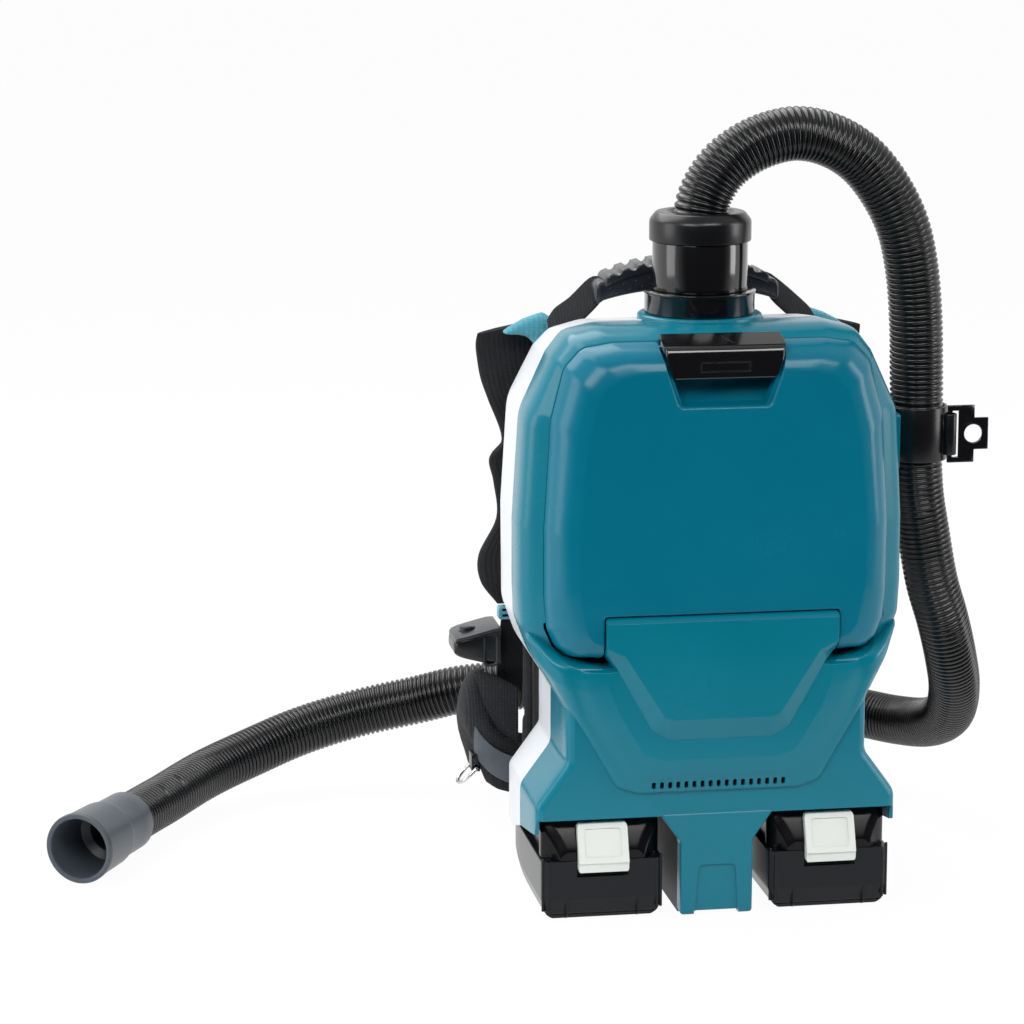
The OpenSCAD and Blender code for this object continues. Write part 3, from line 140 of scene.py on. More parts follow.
# %% [markdown]
# ## Finishes
# Moulded plastic is never one flat colour: the gloss wanders a little, and a fine grain breaks the
# reflections. Each finish is made once by a function, from its colour, its roughness and the
# size of its grain. A Bevel node rounds the shading of small moulded edges.

# %% Moulded plastic
def blank(name):
    made = bpy.data.materials.new(name)
    made.use_nodes = True
    made.node_tree.nodes.clear()
    return made, made.node_tree


def plastic(name, colour, rough, grain=0.02, size=0.6, specular=0.5, coat=0.0, edge=0.5, metal=0.0):
    """A moulded or metal finish; size and edge are the grain's and the edge round's, in millimetres."""
    made, tree = blank(name)
    where = node_in(tree, "TexCoord")
    broad = node_in(tree, "TexNoise", {"Vector": where.outputs["Object"], "Scale": 14.0, "Detail": 3.0})
    fine = node_in(tree, "TexNoise",
                   {"Vector": where.outputs["Object"], "Scale": 1 / (size * MM), "Detail": 2.0})
    darker = [c * 0.9 for c in colour] + [1]
    lighter = [min(1, c * 1.06) for c in colour] + [1]
    tint = node_in(tree, "Mix", {0: broad.outputs[0], 6: darker, 7: lighter}, data_type="RGBA")
    gloss = node_in(tree, "MapRange",
                    {0: broad.outputs[0], 1: 0.3, 2: 0.7, 3: max(0.03, rough - 0.03), 4: rough + 0.04})
    soft = node_in(tree, "Bevel", {"Radius": edge * MM}, samples=4)
    bump = node_in(tree, "Bump",
                   {"Strength": grain, "Distance": 0.0004, "Height": fine.outputs[0],
                    "Normal": soft.outputs[0]})
    shader = node_in(tree, "BsdfPrincipled",
                     {"Base Color": tint.outputs[2], "Roughness": gloss.outputs[0],
                      "Normal": bump.outputs[0], "Metallic": metal, "Specular IOR Level": specular,
                      "Coat Weight": coat, "Coat Roughness": 0.06})
    node_in(tree, "OutputMaterial", {"Surface": shader.outputs[0]})
    return made


cover_teal = plastic("gloss_deep_teal", (0.0, 0.143, 0.222), 0.24, specular=0.3, edge=0.4)
body_teal = plastic("gloss_teal", (0.0, 0.16, 0.228), 0.24, specular=0.33, edge=0.6)
shell_white = plastic("satin_white", (0.63, 0.65, 0.68), 0.3, edge=0.6)
black_gloss = plastic("gloss_black", (0.003, 0.0032, 0.0042), 0.13, specular=0.5, coat=0.5, edge=0.4)
black_satin = plastic("satin_black", (0.004, 0.0043, 0.0055), 0.26, grain=0.08, specular=0.45, edge=0.5)
black_matte = plastic("grained_black", (0.008, 0.0085, 0.010), 0.5, grain=0.25, specular=0.3, edge=0.5)
button_white = plastic("ivory_plastic", (0.70, 0.73, 0.69), 0.34, edge=0.5)
cuff_grey = plastic("slate_plastic", (0.058, 0.072, 0.088), 0.36, grain=0.05, specular=0.4, edge=0.4)
inner_grey = plastic("engineering_grey", (0.10, 0.105, 0.11), 0.5, grain=0.15, edge=0.4)
rubber = plastic("soft_rubber", (0.012, 0.012, 0.013), 0.62, grain=0.3, specular=0.3, edge=0.6)
steel = plastic("brushed_steel", (0.56, 0.57, 0.58), 0.3, metal=1.0, edge=0.2)
chrome = plastic("polished_steel", (0.72, 0.73, 0.74), 0.12, metal=1.0, edge=0.2)
copper = plastic("wound_copper", (0.48, 0.2, 0.09), 0.4, metal=1.0, grain=0.5, size=0.8, edge=0.2)
card = plastic("plain_card", (0.36, 0.24, 0.12), 0.8, grain=0.5, specular=0.1, edge=0.2)
fleece = plastic("filter_fleece", (0.72, 0.68, 0.58), 0.9, grain=0.8, size=1.2, specular=0.05, edge=0.2)
green_board = plastic("board_green", (0.01, 0.07, 0.03), 0.35, edge=0.2)
cell_sleeve = plastic("cell_sleeve", (0.03, 0.14, 0.33), 0.35, edge=0.2)


# %% [markdown]
# Webbing and pad cloth need a pattern that follows the strap. Each band piece therefore carries a
# UV map in real units: U runs across it and V along it, both in metres. The ribs of webbing are a
# wave along U, its picks a finer wave along V.

# %% Cloth finishes
def cloth(name, colour, rib, pick, depth, rough=0.85, coords="UV"):
    """Woven finish; rib and pick are the spacings across and along, in millimetres."""
    made, tree = blank(name)
    where = node_in(tree, "TexCoord")
    across = node_in(tree, "TexWave",
                     {"Vector": where.outputs[coords], "Scale": 0.314 / (rib * MM), "Distortion": 0.15,
                      "Detail": 1.0, "Detail Scale": 2.0}, bands_direction="X")
    along = node_in(tree, "TexWave",
                    {"Vector": where.outputs[coords], "Scale": 0.314 / (pick * MM), "Distortion": 0.3,
                     "Detail": 1.0}, bands_direction="Z" if coords == "Object" else "Y")
    weave = node_in(tree, "Math", {0: across.outputs["Fac"], 1: along.outputs["Fac"], 2: 0.5},
                    operation="MULTIPLY_ADD")
    cloud = node_in(tree, "TexNoise", {"Vector": where.outputs["Object"], "Scale": 55.0, "Detail": 4.0})
    shade = node_in(tree, "Math", {0: weave.outputs[0], 1: cloud.outputs[0]}, operation="MULTIPLY")
    low = [c * 0.55 for c in colour] + [1]
    high = [min(1, c * 1.5) for c in colour] + [1]
    tint = node_in(tree, "Mix", {0: shade.outputs[0], 6: low, 7: high}, data_type="RGBA")
    bump = node_in(tree, "Bump", {"Strength": depth, "Distance": 0.0006, "Height": weave.outputs[0]})
    shader = node_in(tree, "BsdfPrincipled",
                     {"Base Color": tint.outputs[2], "Roughness": rough, "Normal": bump.outputs[0],
                      "Specular IOR Level": 0.2, "Sheen Weight": 0.3, "Sheen Roughness": 0.45,
                      "Sheen Tint": (*[min(1, c * 3 + 0.1) for c in colour], 1)})
    node_in(tree, "OutputMaterial", {"Surface": shader.outputs[0]})
    return made


ribbed_strap = cloth("corduroy_webbing", (0.018, 0.019, 0.022), 3.2, 0.9, 0.9)
webbing = cloth("black_webbing", (0.016, 0.017, 0.020), 1.7, 0.8, 0.8)
pad_cloth = cloth("spacer_mesh", (0.014, 0.015, 0.018), 1.8, 1.8, 0.8, coords="Object")
grey_tape = cloth("reflective_tape", (0.075, 0.09, 0.105), 0.6, 0.6, 0.4, rough=0.5)


# %% [markdown]
# ## Shaping tools
# A few helpers keep the cells below short. They select one object, run an edit operator or apply a
# modifier, as a modeller does by hand. `lathe` spins a profile round an axis, and `loft` joins
# outlines at several depths, which is how a moulded shell with a changing outline is built.

# %% Selecting and applying
def alone(piece):
    bpy.ops.object.select_all(action="DESELECT")
    piece.select_set(True)
    bpy.context.view_layer.objects.active = piece


def enter(piece):
    alone(piece)
    bpy.ops.object.mode_set(mode="EDIT")
    bpy.ops.mesh.select_all(action="SELECT")


def leave():
    bpy.ops.object.mode_set(mode="OBJECT")


def new_mesh(name, points, faces, edges=()):
    data = bpy.data.meshes.new(name)
    data.from_pydata([tuple(p) for p in points], list(edges), faces)
    made = bpy.data.objects.new(name, data)
    scene.collection.objects.link(made)
    return made


def modify(piece, kind, **settings):
    alone(piece)
    added = piece.modifiers.new(kind.lower(), kind)
    for key, value in settings.items():
        setattr(added, key, value)
    bpy.ops.object.modifier_apply(modifier=added.name)


FINE, COARSE = 0.002 * MM, 0.01 * MM  # distances within which points are merged


def finish_normals(piece, angle=32, merge=COARSE):
    enter(piece)
    bpy.ops.mesh.remove_doubles(threshold=merge)
    bpy.ops.mesh.normals_make_consistent(inside=False)
    leave()
    bpy.ops.object.shade_smooth_by_angle(angle=math.radians(angle))


def even_shading(piece, angle=34):
    """Smooth by angle, then weighted by area, so that big flat faces stay flat beside small rounds."""
    finish_normals(piece, angle, merge=FINE)
    modify(piece, "WEIGHTED_NORMAL", keep_sharp=True, weight=80)


def boolean(piece, tool, kind="DIFFERENCE"):
    modify(piece, "BOOLEAN", operation=kind, object=tool, solver="EXACT")
    bpy.data.objects.remove(tool)


def cut(piece, *tools):
    for tool in tools:
        boolean(piece, tool)


def join(piece, *tools):
    for tool in tools:
        boolean(piece, tool, "UNION")


def bevel(piece, width, angle=50, segments=3):
    """Rounds the edges that are sharper than an angle; the width is in millimetres."""
    modify(piece, "BEVEL", width=width * MM, segments=segments, limit_method="ANGLE",
           angle_limit=math.radians(angle))


def dress(piece, material, body, node):
    """Gives a piece its finish and its body, and hides the node it stands for."""
    piece.data.materials.clear()
    piece.data.materials.append(material)
    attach(piece, body)
    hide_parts(node)


# %% Blocks, rods and lathe work
def block(low, high, name="block"):
    """A cube primitive between two corners, in millimetres."""
    bpy.ops.mesh.primitive_cube_add(size=1)
    made = bpy.context.object
    made.name = name
    made.scale = [(h - b) * MM for b, h in zip(low, high)]
    made.location = [(h + b) / 2 * MM for b, h in zip(low, high)]
    bpy.ops.object.transform_apply(location=True, rotation=True, scale=True)
    return made


def rod(radius, start, end, name="rod", sides=48):
    """A cylinder primitive between two points, in millimetres."""
    a, b = Vector(start) * MM, Vector(end) * MM
    bpy.ops.mesh.primitive_cylinder_add(vertices=sides, radius=radius * MM, depth=(b - a).length)
    made = bpy.context.object
    made.name = name
    made.rotation_euler = (b - a).to_track_quat("Z", "Y").to_euler()
    made.location = (a + b) / 2
    bpy.ops.object.transform_apply(location=True, rotation=True, scale=True)
    return made


def lathe(name, profile, centre, axis=(0, 0, 1), steps=96, closed=True):
    """Spins a profile of [radius, height] points round an axis through centre."""
    count = len(profile)
    edges = [(i, (i + 1) % count) for i in range(count if closed else count - 1)]
    made = new_mesh(name, [(r * MM, 0, h * MM) for r, h in profile], [], edges)
    enter(made)
    bpy.ops.mesh.spin(steps=steps, angle=math.tau, center=(0, 0, 0), axis=(0, 0, 1))
    leave()
    made.rotation_euler = Vector(axis).to_track_quat("Z", "Y").to_euler()
    made.location = Vector(centre) * MM
    bpy.ops.object.transform_apply(location=True, rotation=True, scale=True)
    finish_normals(made)
    return made


# %% Outlines
def mirrored(half):
    return list(half) + [(-x, z) for x, z in reversed(half)]


def inset(points, d):
    """Moves every side of a counterclockwise outline inwards by d."""
    out = []
    for i, b in enumerate(points):
        a, c = points[i - 1], points[(i + 1) % len(points)]
        u = (Vector(b) - Vector(a)).normalized()
        v = (Vector(c) - Vector(b)).normalized()
        m, n = Vector((-u.y, u.x)), Vector((-v.y, v.x))
        out.append(tuple(Vector(b) + d * (m + n) / (1 + m.dot(n))))
    return out


def rounded(points, radii, steps=5):
    """Rounds each corner of an outline; radii is one number, or one for each corner."""
    out = []
    for i, b in enumerate(points):
        a, c = Vector(points[i - 1]), Vector(points[(i + 1) % len(points)])
        b = Vector(b)
        u, v = a - b, c - b
        room = 0.46 * min(u.length, v.length)
        u.normalize()
        v.normalize()
        half = max(0.05, math.acos(max(-1, min(1, u.dot(v)))) / 2)
        radius = radii[i] if isinstance(radii, (list, tuple)) else radii
        trim = min(radius / math.tan(half), room)
        for k in range(steps + 1):
            t = k / steps
            out.append((1 - t) ** 2 * (b + u * trim) + 2 * t * (1 - t) * b + t * t * (b + v * trim))
    return out


def panel(x0, z0, x1, z1):
    """The corners of a rectangle, counterclockwise."""
    return [(x0, z0), (x1, z0), (x1, z1), (x0, z1)]


def at_depth(points, y):
    return [Vector((p[0], y, p[1])) for p in points]


def soften(rings, times=2):
    """Cuts the corners between rings, so that creases along the depth become rounds."""
    for _ in range(times):
        softer = [rings[0]]
        for a, b in zip(rings, rings[1:]):
            softer.append([p.lerp(q, 0.25) for p, q in zip(a, b)])
            softer.append([p.lerp(q, 0.75) for p, q in zip(a, b)])
        rings = softer + [rings[-1]]
    return rings


def loft(name, rings, angle=32):
    """Closed skin over rings of equal count, in millimetres."""
    count = len(rings[0])
    points = [p * MM for ring in rings for p in ring]
    faces = []
    for k in range(len(rings) - 1):
        for i in range(count):
            j = (i + 1) % count
            faces.append((k * count + i, k * count + j, (k + 1) * count + j, (k + 1) * count + i))
    faces.append(tuple(reversed(range(count))))
    faces.append(tuple(range((len(rings) - 1) * count, len(rings) * count)))
    made = new_mesh(name, points, faces)
    finish_normals(made, angle)
    return made


def slab(points, y0, y1, name="slab"):
    return loft(name, [at_depth(points, y0), at_depth(points, y1)])


# %% [markdown]
# Inside the shells are ribs, posts, bosses and lugs with exact bores. They are kept as the solids
# have them: a copy of the node is merged and cut down to what lies inside the new, rounder skin.

# %% Copies of nodes
def copy_of(node, name):
    made = bpy.data.objects.new(name, nodes[node].data.copy())
    made.matrix_world = nodes[node].matrix_world
    scene.collection.objects.link(made)
    made.data.materials.clear()
    enter(made)
    bpy.ops.mesh.remove_doubles(threshold=FINE)
    leave()
    return made


def moulded(node, name, width):
    """A copy of a node with its flat faces joined and its edges rounded."""
    made = copy_of(node, name)
    enter(made)
    bpy.ops.mesh.dissolve_limited(angle_limit=math.radians(0.5))
    leave()
    modify(made, "BEVEL", width=width * MM, segments=2, limit_method="ANGLE",
           angle_limit=math.radians(30), use_clamp_overlap=False, harden_normals=False)
    finish_normals(made, 40, merge=FINE)
    return made


def add_lugs(node, name, core, material, body):
    """The part of a node that lies inside a core, kept as the solid has it."""
    lugs = copy_of(node, name)
    boolean(lugs, core, "INTERSECT")
    finish_normals(lugs, 30, merge=FINE)
    dress(lugs, material, body, node)
    print(name, len(lugs.data.polygons), "faces")


# %% [markdown]
# ## Suction hose
# The hose is a corrugated plastic tube: rings of about 3.4 mm pitch that shine on their crests and
# go dark in the valleys. It is one closed mesh that follows the real route at its real length. The
# route leaves the collar upwards, arches over to the side, drops through the holder, turns forward
# on the floor side behind the body and lies along the floor to the cuff.

# %% Route of the hose
hose_radius, valley_radius, bore_radius = 16.6, 15.2, 13.4
cuff_axis = Vector((-0.5, -0.866, 0)).normalized()
hose_end = Vector((-346.7, 112.9, 22.8))
hose_start_z = 392
route = [(0, -5, hose_start_z), (0, -5, 409), (1, -5, 427), (8, -5, 442), (19, -5, 454), (37, -4, 464),
         (59, -2, 468.5), (81, 0, 464), (101, 2, 452), (117, 3, 433), (129, 4, 410), (136, 6, 382),
         (139.5, 7.5, 350), (141, 9, 318), (141.4, 9, 300), (141.5, 9, 281), (141.7, 9, 262),
         (144, 11, 240), (149, 14, 216), (156, 17, 184), (166, 25, 157), (177, 42, 128), (187, 66, 101),
         (193, 98, 76), (190, 134, 60), (178, 168, 53), (156, 194, 53), (124, 212, 56), (70, 226, 61),
         (0, 236, 66), (-60, 240, 69), (-104, 242, 68.5), (-140, 252, 59), (-180, 257, 50),
         (-219, 251, 41), (-254, 235, 32), (-289, 206, 25.5), (-319, 160, 23),
         hose_end - 35 * cuff_axis, hose_end - 17 * cuff_axis, hose_end]


def through(stations, n):
    """Smooth curve through stations of any length, n steps a stretch."""
    out = []
    for i in range(len(stations) - 1):
        b, c = stations[i], stations[i + 1]
        a = stations[i - 1] if i else [2 * p - q for p, q in zip(b, c)]
        d = stations[i + 2] if i < len(stations) - 2 else [2 * q - p for p, q in zip(b, c)]
        for k in range(n):
            t = k / n
            out.append([0.5 * (2 * q + (r - p) * t + (2 * p - 5 * q + 4 * r - s) * t * t
                               + (3 * q - p - 3 * r + s) * t ** 3) for p, q, r, s in zip(a, b, c, d)])
    return out + [list(stations[-1])]


hose_line = [Vector(p) for p in through(route, 8)]
hose_run = [0.0]
for a, b in zip(hose_line, hose_line[1:]):
    hose_run.append(hose_run[-1] + (b - a).length)
hose_length = hose_run[-1]


def along_hose(s):
    s = min(max(s, 0), hose_length)
    k = max(1, next((i for i, r in enumerate(hose_run) if r >= s), len(hose_run) - 1))
    part = (s - hose_run[k - 1]) / (hose_run[k] - hose_run[k - 1])
    return hose_line[k - 1].lerp(hose_line[k], part)


def tube_rings(stops, radii, sides):
    """Rings square to the line at the stops; the side vectors are carried along without twist."""
    rings, up = [], Vector((0, 1, 0))
    for s, radius in zip(stops, radii):
        ahead = (along_hose(s + 3) - along_hose(s - 3)).normalized()
        up = (up - ahead * up.dot(ahead)).normalized()
        side = ahead.cross(up)
        centre = along_hose(s)
        rings.append([centre + radius * (side * math.cos(a) + up * math.sin(a))
                      for a in (math.tau * i / sides for i in range(sides))])
    return rings


# %% Ribbed hose
hose_sides = 28
rib_count = round(hose_length / 3.45)
rib = hose_length / rib_count
crest = [(0.0, 0.0), (0.13, 0.62), (0.3, 1.0), (0.56, 1.0), (0.73, 0.62), (0.86, 0.0)]
stops = [(k + share) * rib for k in range(rib_count) for share, _ in crest]
radii = [valley_radius + (hose_radius - valley_radius) * high for _, high in crest] * rib_count
outer = tube_rings(stops + [hose_length], radii + [valley_radius], hose_sides)
inner_stops = [hose_length * (1 - k / 110) for k in range(111)]
inner = tube_rings(list(reversed(inner_stops)), [bore_radius] * 111, hose_sides)[::-1]
rings = outer + inner
points = [p * MM for ring in rings for p in ring]
faces = []
for k in range(len(rings)):
    for i in range(hose_sides):
        j, q = (i + 1) % hose_sides, (k + 1) % len(rings)
        faces.append((k * hose_sides + i, k * hose_sides + j, q * hose_sides + j, q * hose_sides + i))
hose = new_mesh("ribbed_hose", points, faces)
finish_normals(hose, 62)
hose_black = plastic("hose_black", (0.0045, 0.005, 0.006), 0.22, grain=0.03, specular=0.5, edge=0.05)
dress(hose, hose_black, "cleaner", "hose")
print("hose", round(hose_length), "mm,", rib_count, "ribs")

# %% [markdown]
# ## Cuff
# The cuff is a thick slate-grey sleeve in two steps: a narrow one that grips the hose and a wide,
# slightly flared one whose bore takes the wand. It is lathe work, so its profile is drawn once,
# with rounded lips, and spun round the cuff's own line.

# %% Cuff
cuff_narrow, cuff_long = 30, 68
cuff_profile = [(bore_radius, 0), (18.4, 0), (19.1, 0.5), (19.4, 1.4), (19.5, 12), (19.8, cuff_narrow - 1),
                (20.0, cuff_narrow), (20.6, cuff_narrow + 1.0), (21.1, cuff_narrow + 2.4),
                (21.3, cuff_narrow + 4), (22.0, cuff_long - 5), (22.15, cuff_long - 4.2),
                (22.55, cuff_long - 3.6), (22.6, cuff_long - 1.2), (22.35, cuff_long - 0.35),
                (21.8, cuff_long), (20.2, cuff_long), (19.5, cuff_long - 0.3), (19.1, cuff_long - 1),
                (19.0, cuff_long - 2), (19.0, cuff_narrow - 1), (18.6, cuff_narrow - 2),
                (bore_radius, cuff_narrow - 5)]
cuff = lathe("wand_cuff", cuff_profile, hose_end, cuff_axis, steps=96)
dress(cuff, cuff_grey, "cleaner", "hose_cuff")

# %% [markdown]
# ## Front cover
# The cover is a deep dish with a nearly flat face. Its outline has eleven corners on each side of
# the middle, which the rounds make soft, and it swells from the seam to the face in one big round.
# A notch at the bottom leaves room for the hinge tab. The outlines at four depths are lofted, the
# corners between the depths are cut into rounds, and the finger recess is cut out with a flared
# tool that leaves a soft lip.

# %% Outlines of the cover
WALL, CORE = 3, 2.8  # a shell's thickness, and how far inside its skin the lugs begin
notch, hinge_y, hinge_z = 71.7, -70, 172
latch_y, latch_z = -62.5, 353
neck_y = -5
seam_ring = [(notch, 190), (notch, 162), (92, 163), (99, 169), (104, 180), (105.4, 200), (105.4, 240),
             (101.6, 306), (93.6, 337.6), (82.8, 349.4), (64, 352.4)]
shoulder_ring = [(notch, 190), (notch, 163), (90, 164), (97, 170), (101, 181), (103, 200), (103, 240),
                 (99, 304), (90, 335), (79, 346.6), (62, 349.6)]
edge_ring = [(notch, 190), (notch, 165.5), (86, 167), (91, 173), (94, 184), (96.5, 202), (97, 240),
             (92, 300), (84, 329), (74, 341), (58, 344.4)]
face_ring = [(notch, 190), (notch, 171), (79, 174), (83, 180), (85, 190), (87.5, 205), (88, 240),
             (83, 296), (76, 322), (67, 333), (52, 336.6)]
cover_radii = [2, 1.2, 9, 9, 12, 14, 30, 30, 12, 12, 24]
cover_radii = cover_radii + cover_radii[::-1]
cover_depths = [-58.6, -69, -77.4, -81]
cover_rings = [seam_ring, shoulder_ring, edge_ring, face_ring]


def cover_form(name, d):
    """The cover's outer form, or its inside where d is the wall."""
    rings = []
    if not d:
        rings.append(at_depth(rounded(inset(mirrored(seam_ring), 0.7), cover_radii), -58.6))
    for ring, y in zip(cover_rings, cover_depths):
        y = min(y + d * (0.6 if y == -69 else 1), -57.6) if d else min(y, -59.3)
        rings.append(at_depth(rounded(inset(mirrored(ring), d), [max(0.8, r - d) for r in cover_radii]), y))
    rings.append(at_depth(rounded(inset(mirrored(face_ring), d + 0.4 if d else 2.5),
                                  [max(0.8, r - d - 2) for r in cover_radii]), cover_depths[-1] + d))
    return loft(name, soften(rings, 3))


def lean_back(piece, height, slope):
    """Creases the face at a height; what lies below it leans back a little."""
    enter(piece)
    bpy.ops.mesh.bisect(plane_co=(0, 0, height * MM), plane_no=(0, 0, 1))
    leave()
    for vertex in piece.data.vertices:
        drop, front = height * MM - vertex.co.z, -0.070 - vertex.co.y
        if drop > 0 and front > 0:
            vertex.co.y += drop * slope * min(1, front / 0.008)


# %% Cover with its recess
recess = mirrored([(26.8, 316.6), (38.2, 350), (38.2, 364)])
recess_radii = [4.5, 5, 1, 1, 5, 4.5]
cover = cover_form("cover_shell", 0)
hollow = cover_form("cover_hollow", WALL)
cut(hollow, slab(rounded(inset(recess, -3), recess_radii), -90, -64),
    block((-40.6, -68, 344.4), (40.6, -50, 366)),
    rod(22.2, (-notch - 2, hinge_y, hinge_z), (notch + 2, hinge_y, hinge_z), sides=96))
cut(cover, hollow, rod(19.7, (-notch, hinge_y, hinge_z), (notch, hinge_y, hinge_z), sides=96))
flare = [(-66.9, 0.6), (-67.4, 0.1), (-68.4, 0), (-78.4, -0.7), (-79.8, -1.1), (-80.6, -1.8), (-81.1, -3.2),
         (-81.6, -6)]
recess_rings = [at_depth(rounded(inset(recess, d), recess_radii, 6), y) for y, d in flare[::-1]]
cut(cover, loft("recess_tool", recess_rings), block((-13, -80, 331), (13, -50, 343.5)),
    rod(3.6, (-37.6, latch_y, latch_z), (37.6, latch_y, latch_z)))
lean_back(cover, 216, 0.028)
even_shading(cover)
dress(cover, cover_teal, "cover", "front_cover")

# %% Hinge knuckles and lugs inside the cover
add_lugs("front_cover", "cover_lugs", cover_form("cover_core", CORE), cover_teal, "cover")
print("cover", len(cover.data.polygons), "faces")

# %% [markdown]
# ## Front housing
# The teal housing is one moulding: an upper shell with faceted corners, a swelling under the cover,
# the raised hinge tab, a skirt that flares out over the batteries, the centre foot, the connector's
# collar and the ear of the hose holder. Each form is lofted twice, once for the outside and once
# for the inside, and the two are joined and cut as the solids are.

# %% Outlines of the housing
wide_half = [(50, 84), (66, 89), (110, 160), (117.5, 180), (118.5, 200), (118.5, 240), (114.5, 306),
             (98, 342), (88, 355), (70, 359)]
seam_half = [(46, 90), (58, 94), (97, 160), (104, 180), (106, 200), (106, 240), (102, 306), (94, 338),
             (83, 350), (64, 353)]
wide_radii = [8, 8, 20, 14, 16, 30, 34, 12, 12, 30]
apron_rings = [
    (-77.4, 1, [(34, 100), (46, 103.5), (62, 130), (68, 146), (68.5, 152), (67.5, 155), (60, 156)]),
    (-76, 1, [(42, 91), (53.5, 94.5), (73, 127), (79, 144), (80, 152), (78, 155.5), (66, 156)]),
    (-73.6, 1, [(46, 86), (57.5, 90), (80, 127), (87, 145), (88, 153), (85, 156), (71, 156.6)]),
    (-73.2, 1, [(47.5, 81), (60.5, 85), (85, 126), (92, 145), (93, 155), (89, 158), (72, 157)]),
    (-71.6, 1, [(49.3, 78), (62.8, 82.2), (88, 128), (97, 149), (98, 158.5), (92.5, 160.3), (72, 157.5)]),
    (-66, 0.7, [(50, 77.5), (64, 81.5), (92, 131), (103, 153), (105, 163.5), (97, 163.2), (72, 158)]),
    (-58, 0.35, [(50, 77.5), (64.5, 81.7), (96, 137), (108, 158), (112, 173.5), (100.3, 168), (72, 158)]),
    (-50, 0, [(50, 77.5), (65, 82), (98, 139), (110.3, 160), (117, 179), (101.5, 169.5), (72, 158)]),
    (-42, 0.7, [(50, 79), (64, 83.5), (96.5, 140), (108.7, 161), (115, 178), (101, 169.5), (72, 158)])]
skirt_half = [(112, 40), (112, 72), (93, 98), (93, 140)]
tab_face = [(31, 125.5), (36, 128), (60, 166), (71.1, 171), (71.1, 189.4)]
tab_base = [(31, 108.5), (44, 116), (66, 157), (71.1, 166), (71.1, 189.4)]
ear_pocket = [(66, 158.2), (84, 160.2), (92.8, 162.2), (100, 168.5), (104.9, 180), (104.9, 183), (66, 183)]


def stack(name, half_radii, levels, times=2):
    """Lofts levels of (y, half outline, inset); the corners keep their radii."""
    rings = []
    for y, half, d in levels:
        radii = [max(0.6, r - d) for r in half_radii]
        rings.append(at_depth(rounded(inset(mirrored(half), d), radii + radii[::-1]), y))
    return loft(name, soften(rings, times))


def upper_form(name, d):
    if d:
        levels = [(-60, seam_half, d), (-58, seam_half, d), (-51, wide_half, d + 2.4), (-42, wide_half, d),
                  (-30, wide_half, d), (-12, wide_half, d + 1)]
    else:
        levels = [(-58, seam_half, 0.5), (-57.6, seam_half, 0), (-51, wide_half, 2.4), (-42, wide_half, 0),
                  (-30, wide_half, 0), (-14.4, wide_half, 0.9), (-14, wide_half, 1.4)]
    return stack(name, wide_radii, levels)


def apron_form(name, d):
    """Swelling under the cover, the ledge round it and the shelves beside the cover's ears."""
    radii = [max(0.6, r - d) for r in (14, 12, 40, 14, 5, 4, 8)]
    rings = [at_depth(rounded(inset(mirrored(half), d), radii + radii[::-1]), y + d * follow)
             for y, follow, half in apron_rings]
    return loft(name, soften(rings, 2))


def tab_form(name, d):
    made = stack(name, [6, 4, 4, 3, 2.2], [(-83 + d, tab_face, d + 0.6), (-82.8 + d, tab_face, d),
                                           (-76 + d, tab_base, d), (-53.4 + d, tab_base, d)], times=1)
    top = block((-80, -100, hinge_z), (80, -58 + d, 215))
    boolean(top, rod(19.3 - d, (-81, hinge_y, hinge_z), (81, hinge_y, hinge_z), sides=96))
    boolean(made, top)
    return made


def skirt_form(name, d):
    levels = [(-70 + d, skirt_half, 5 + d), (-68 + d, skirt_half, 1.5 + d), (-63 + d, skirt_half, d),
              (-13.8 + d, skirt_half, d)]
    return stack(name, [1, 12, 12, 1], levels)


def plank(points, x0, x1, name="plank"):
    """A side view of [y, z] points between two values of x."""
    return loft(name, [[Vector((x, p[0], p[1])) for p in points] for x in (x0, x1)])


def both(make):
    """The same tool on both sides of the middle."""
    for sign in (1, -1):
        yield make(sign)


def span(low, high, sign):
    """Corners of a block, mirrored where sign is -1."""
    (a, b, c), (d, e, f) = low, high
    return ((a, b, c), (d, e, f)) if sign > 0 else ((-d, b, c), (-a, e, f))


# %% Outer form of the housing
housing = upper_form("housing_shell", 0)
join(housing, apron_form("apron", 0), skirt_form("skirt", 0))
cut(housing, *both(lambda s: slab([(x * s, z) for x, z in ear_pocket], -63.5, -53.9)))
join(housing, tab_form("tab", 0))

# %% Inside, battery bays and lower edge
cores = []
for make in (upper_form, apron_form, tab_form):
    boolean(housing, make("inner", WALL))
    cores.append(make("core", CORE))
skirt_inner = skirt_form("skirt_inner", 2.6)
boolean(skirt_inner, block((-200, -100, 64.7), (200, 0, 300)), "INTERSECT")
cut(housing, skirt_inner, block((-109, -120, -1), (109, -60.5, 63)), block((-109, -61, -1), (109, 60, 65)))
edge = [(-80, 62.5), (-67, 62.5), (-64.5, 53.5), (-13, 45.4), (-13, 0), (-80, 0)]
cut(housing, *both(lambda s: plank(edge, *sorted((36 * s, 140 * s)))))

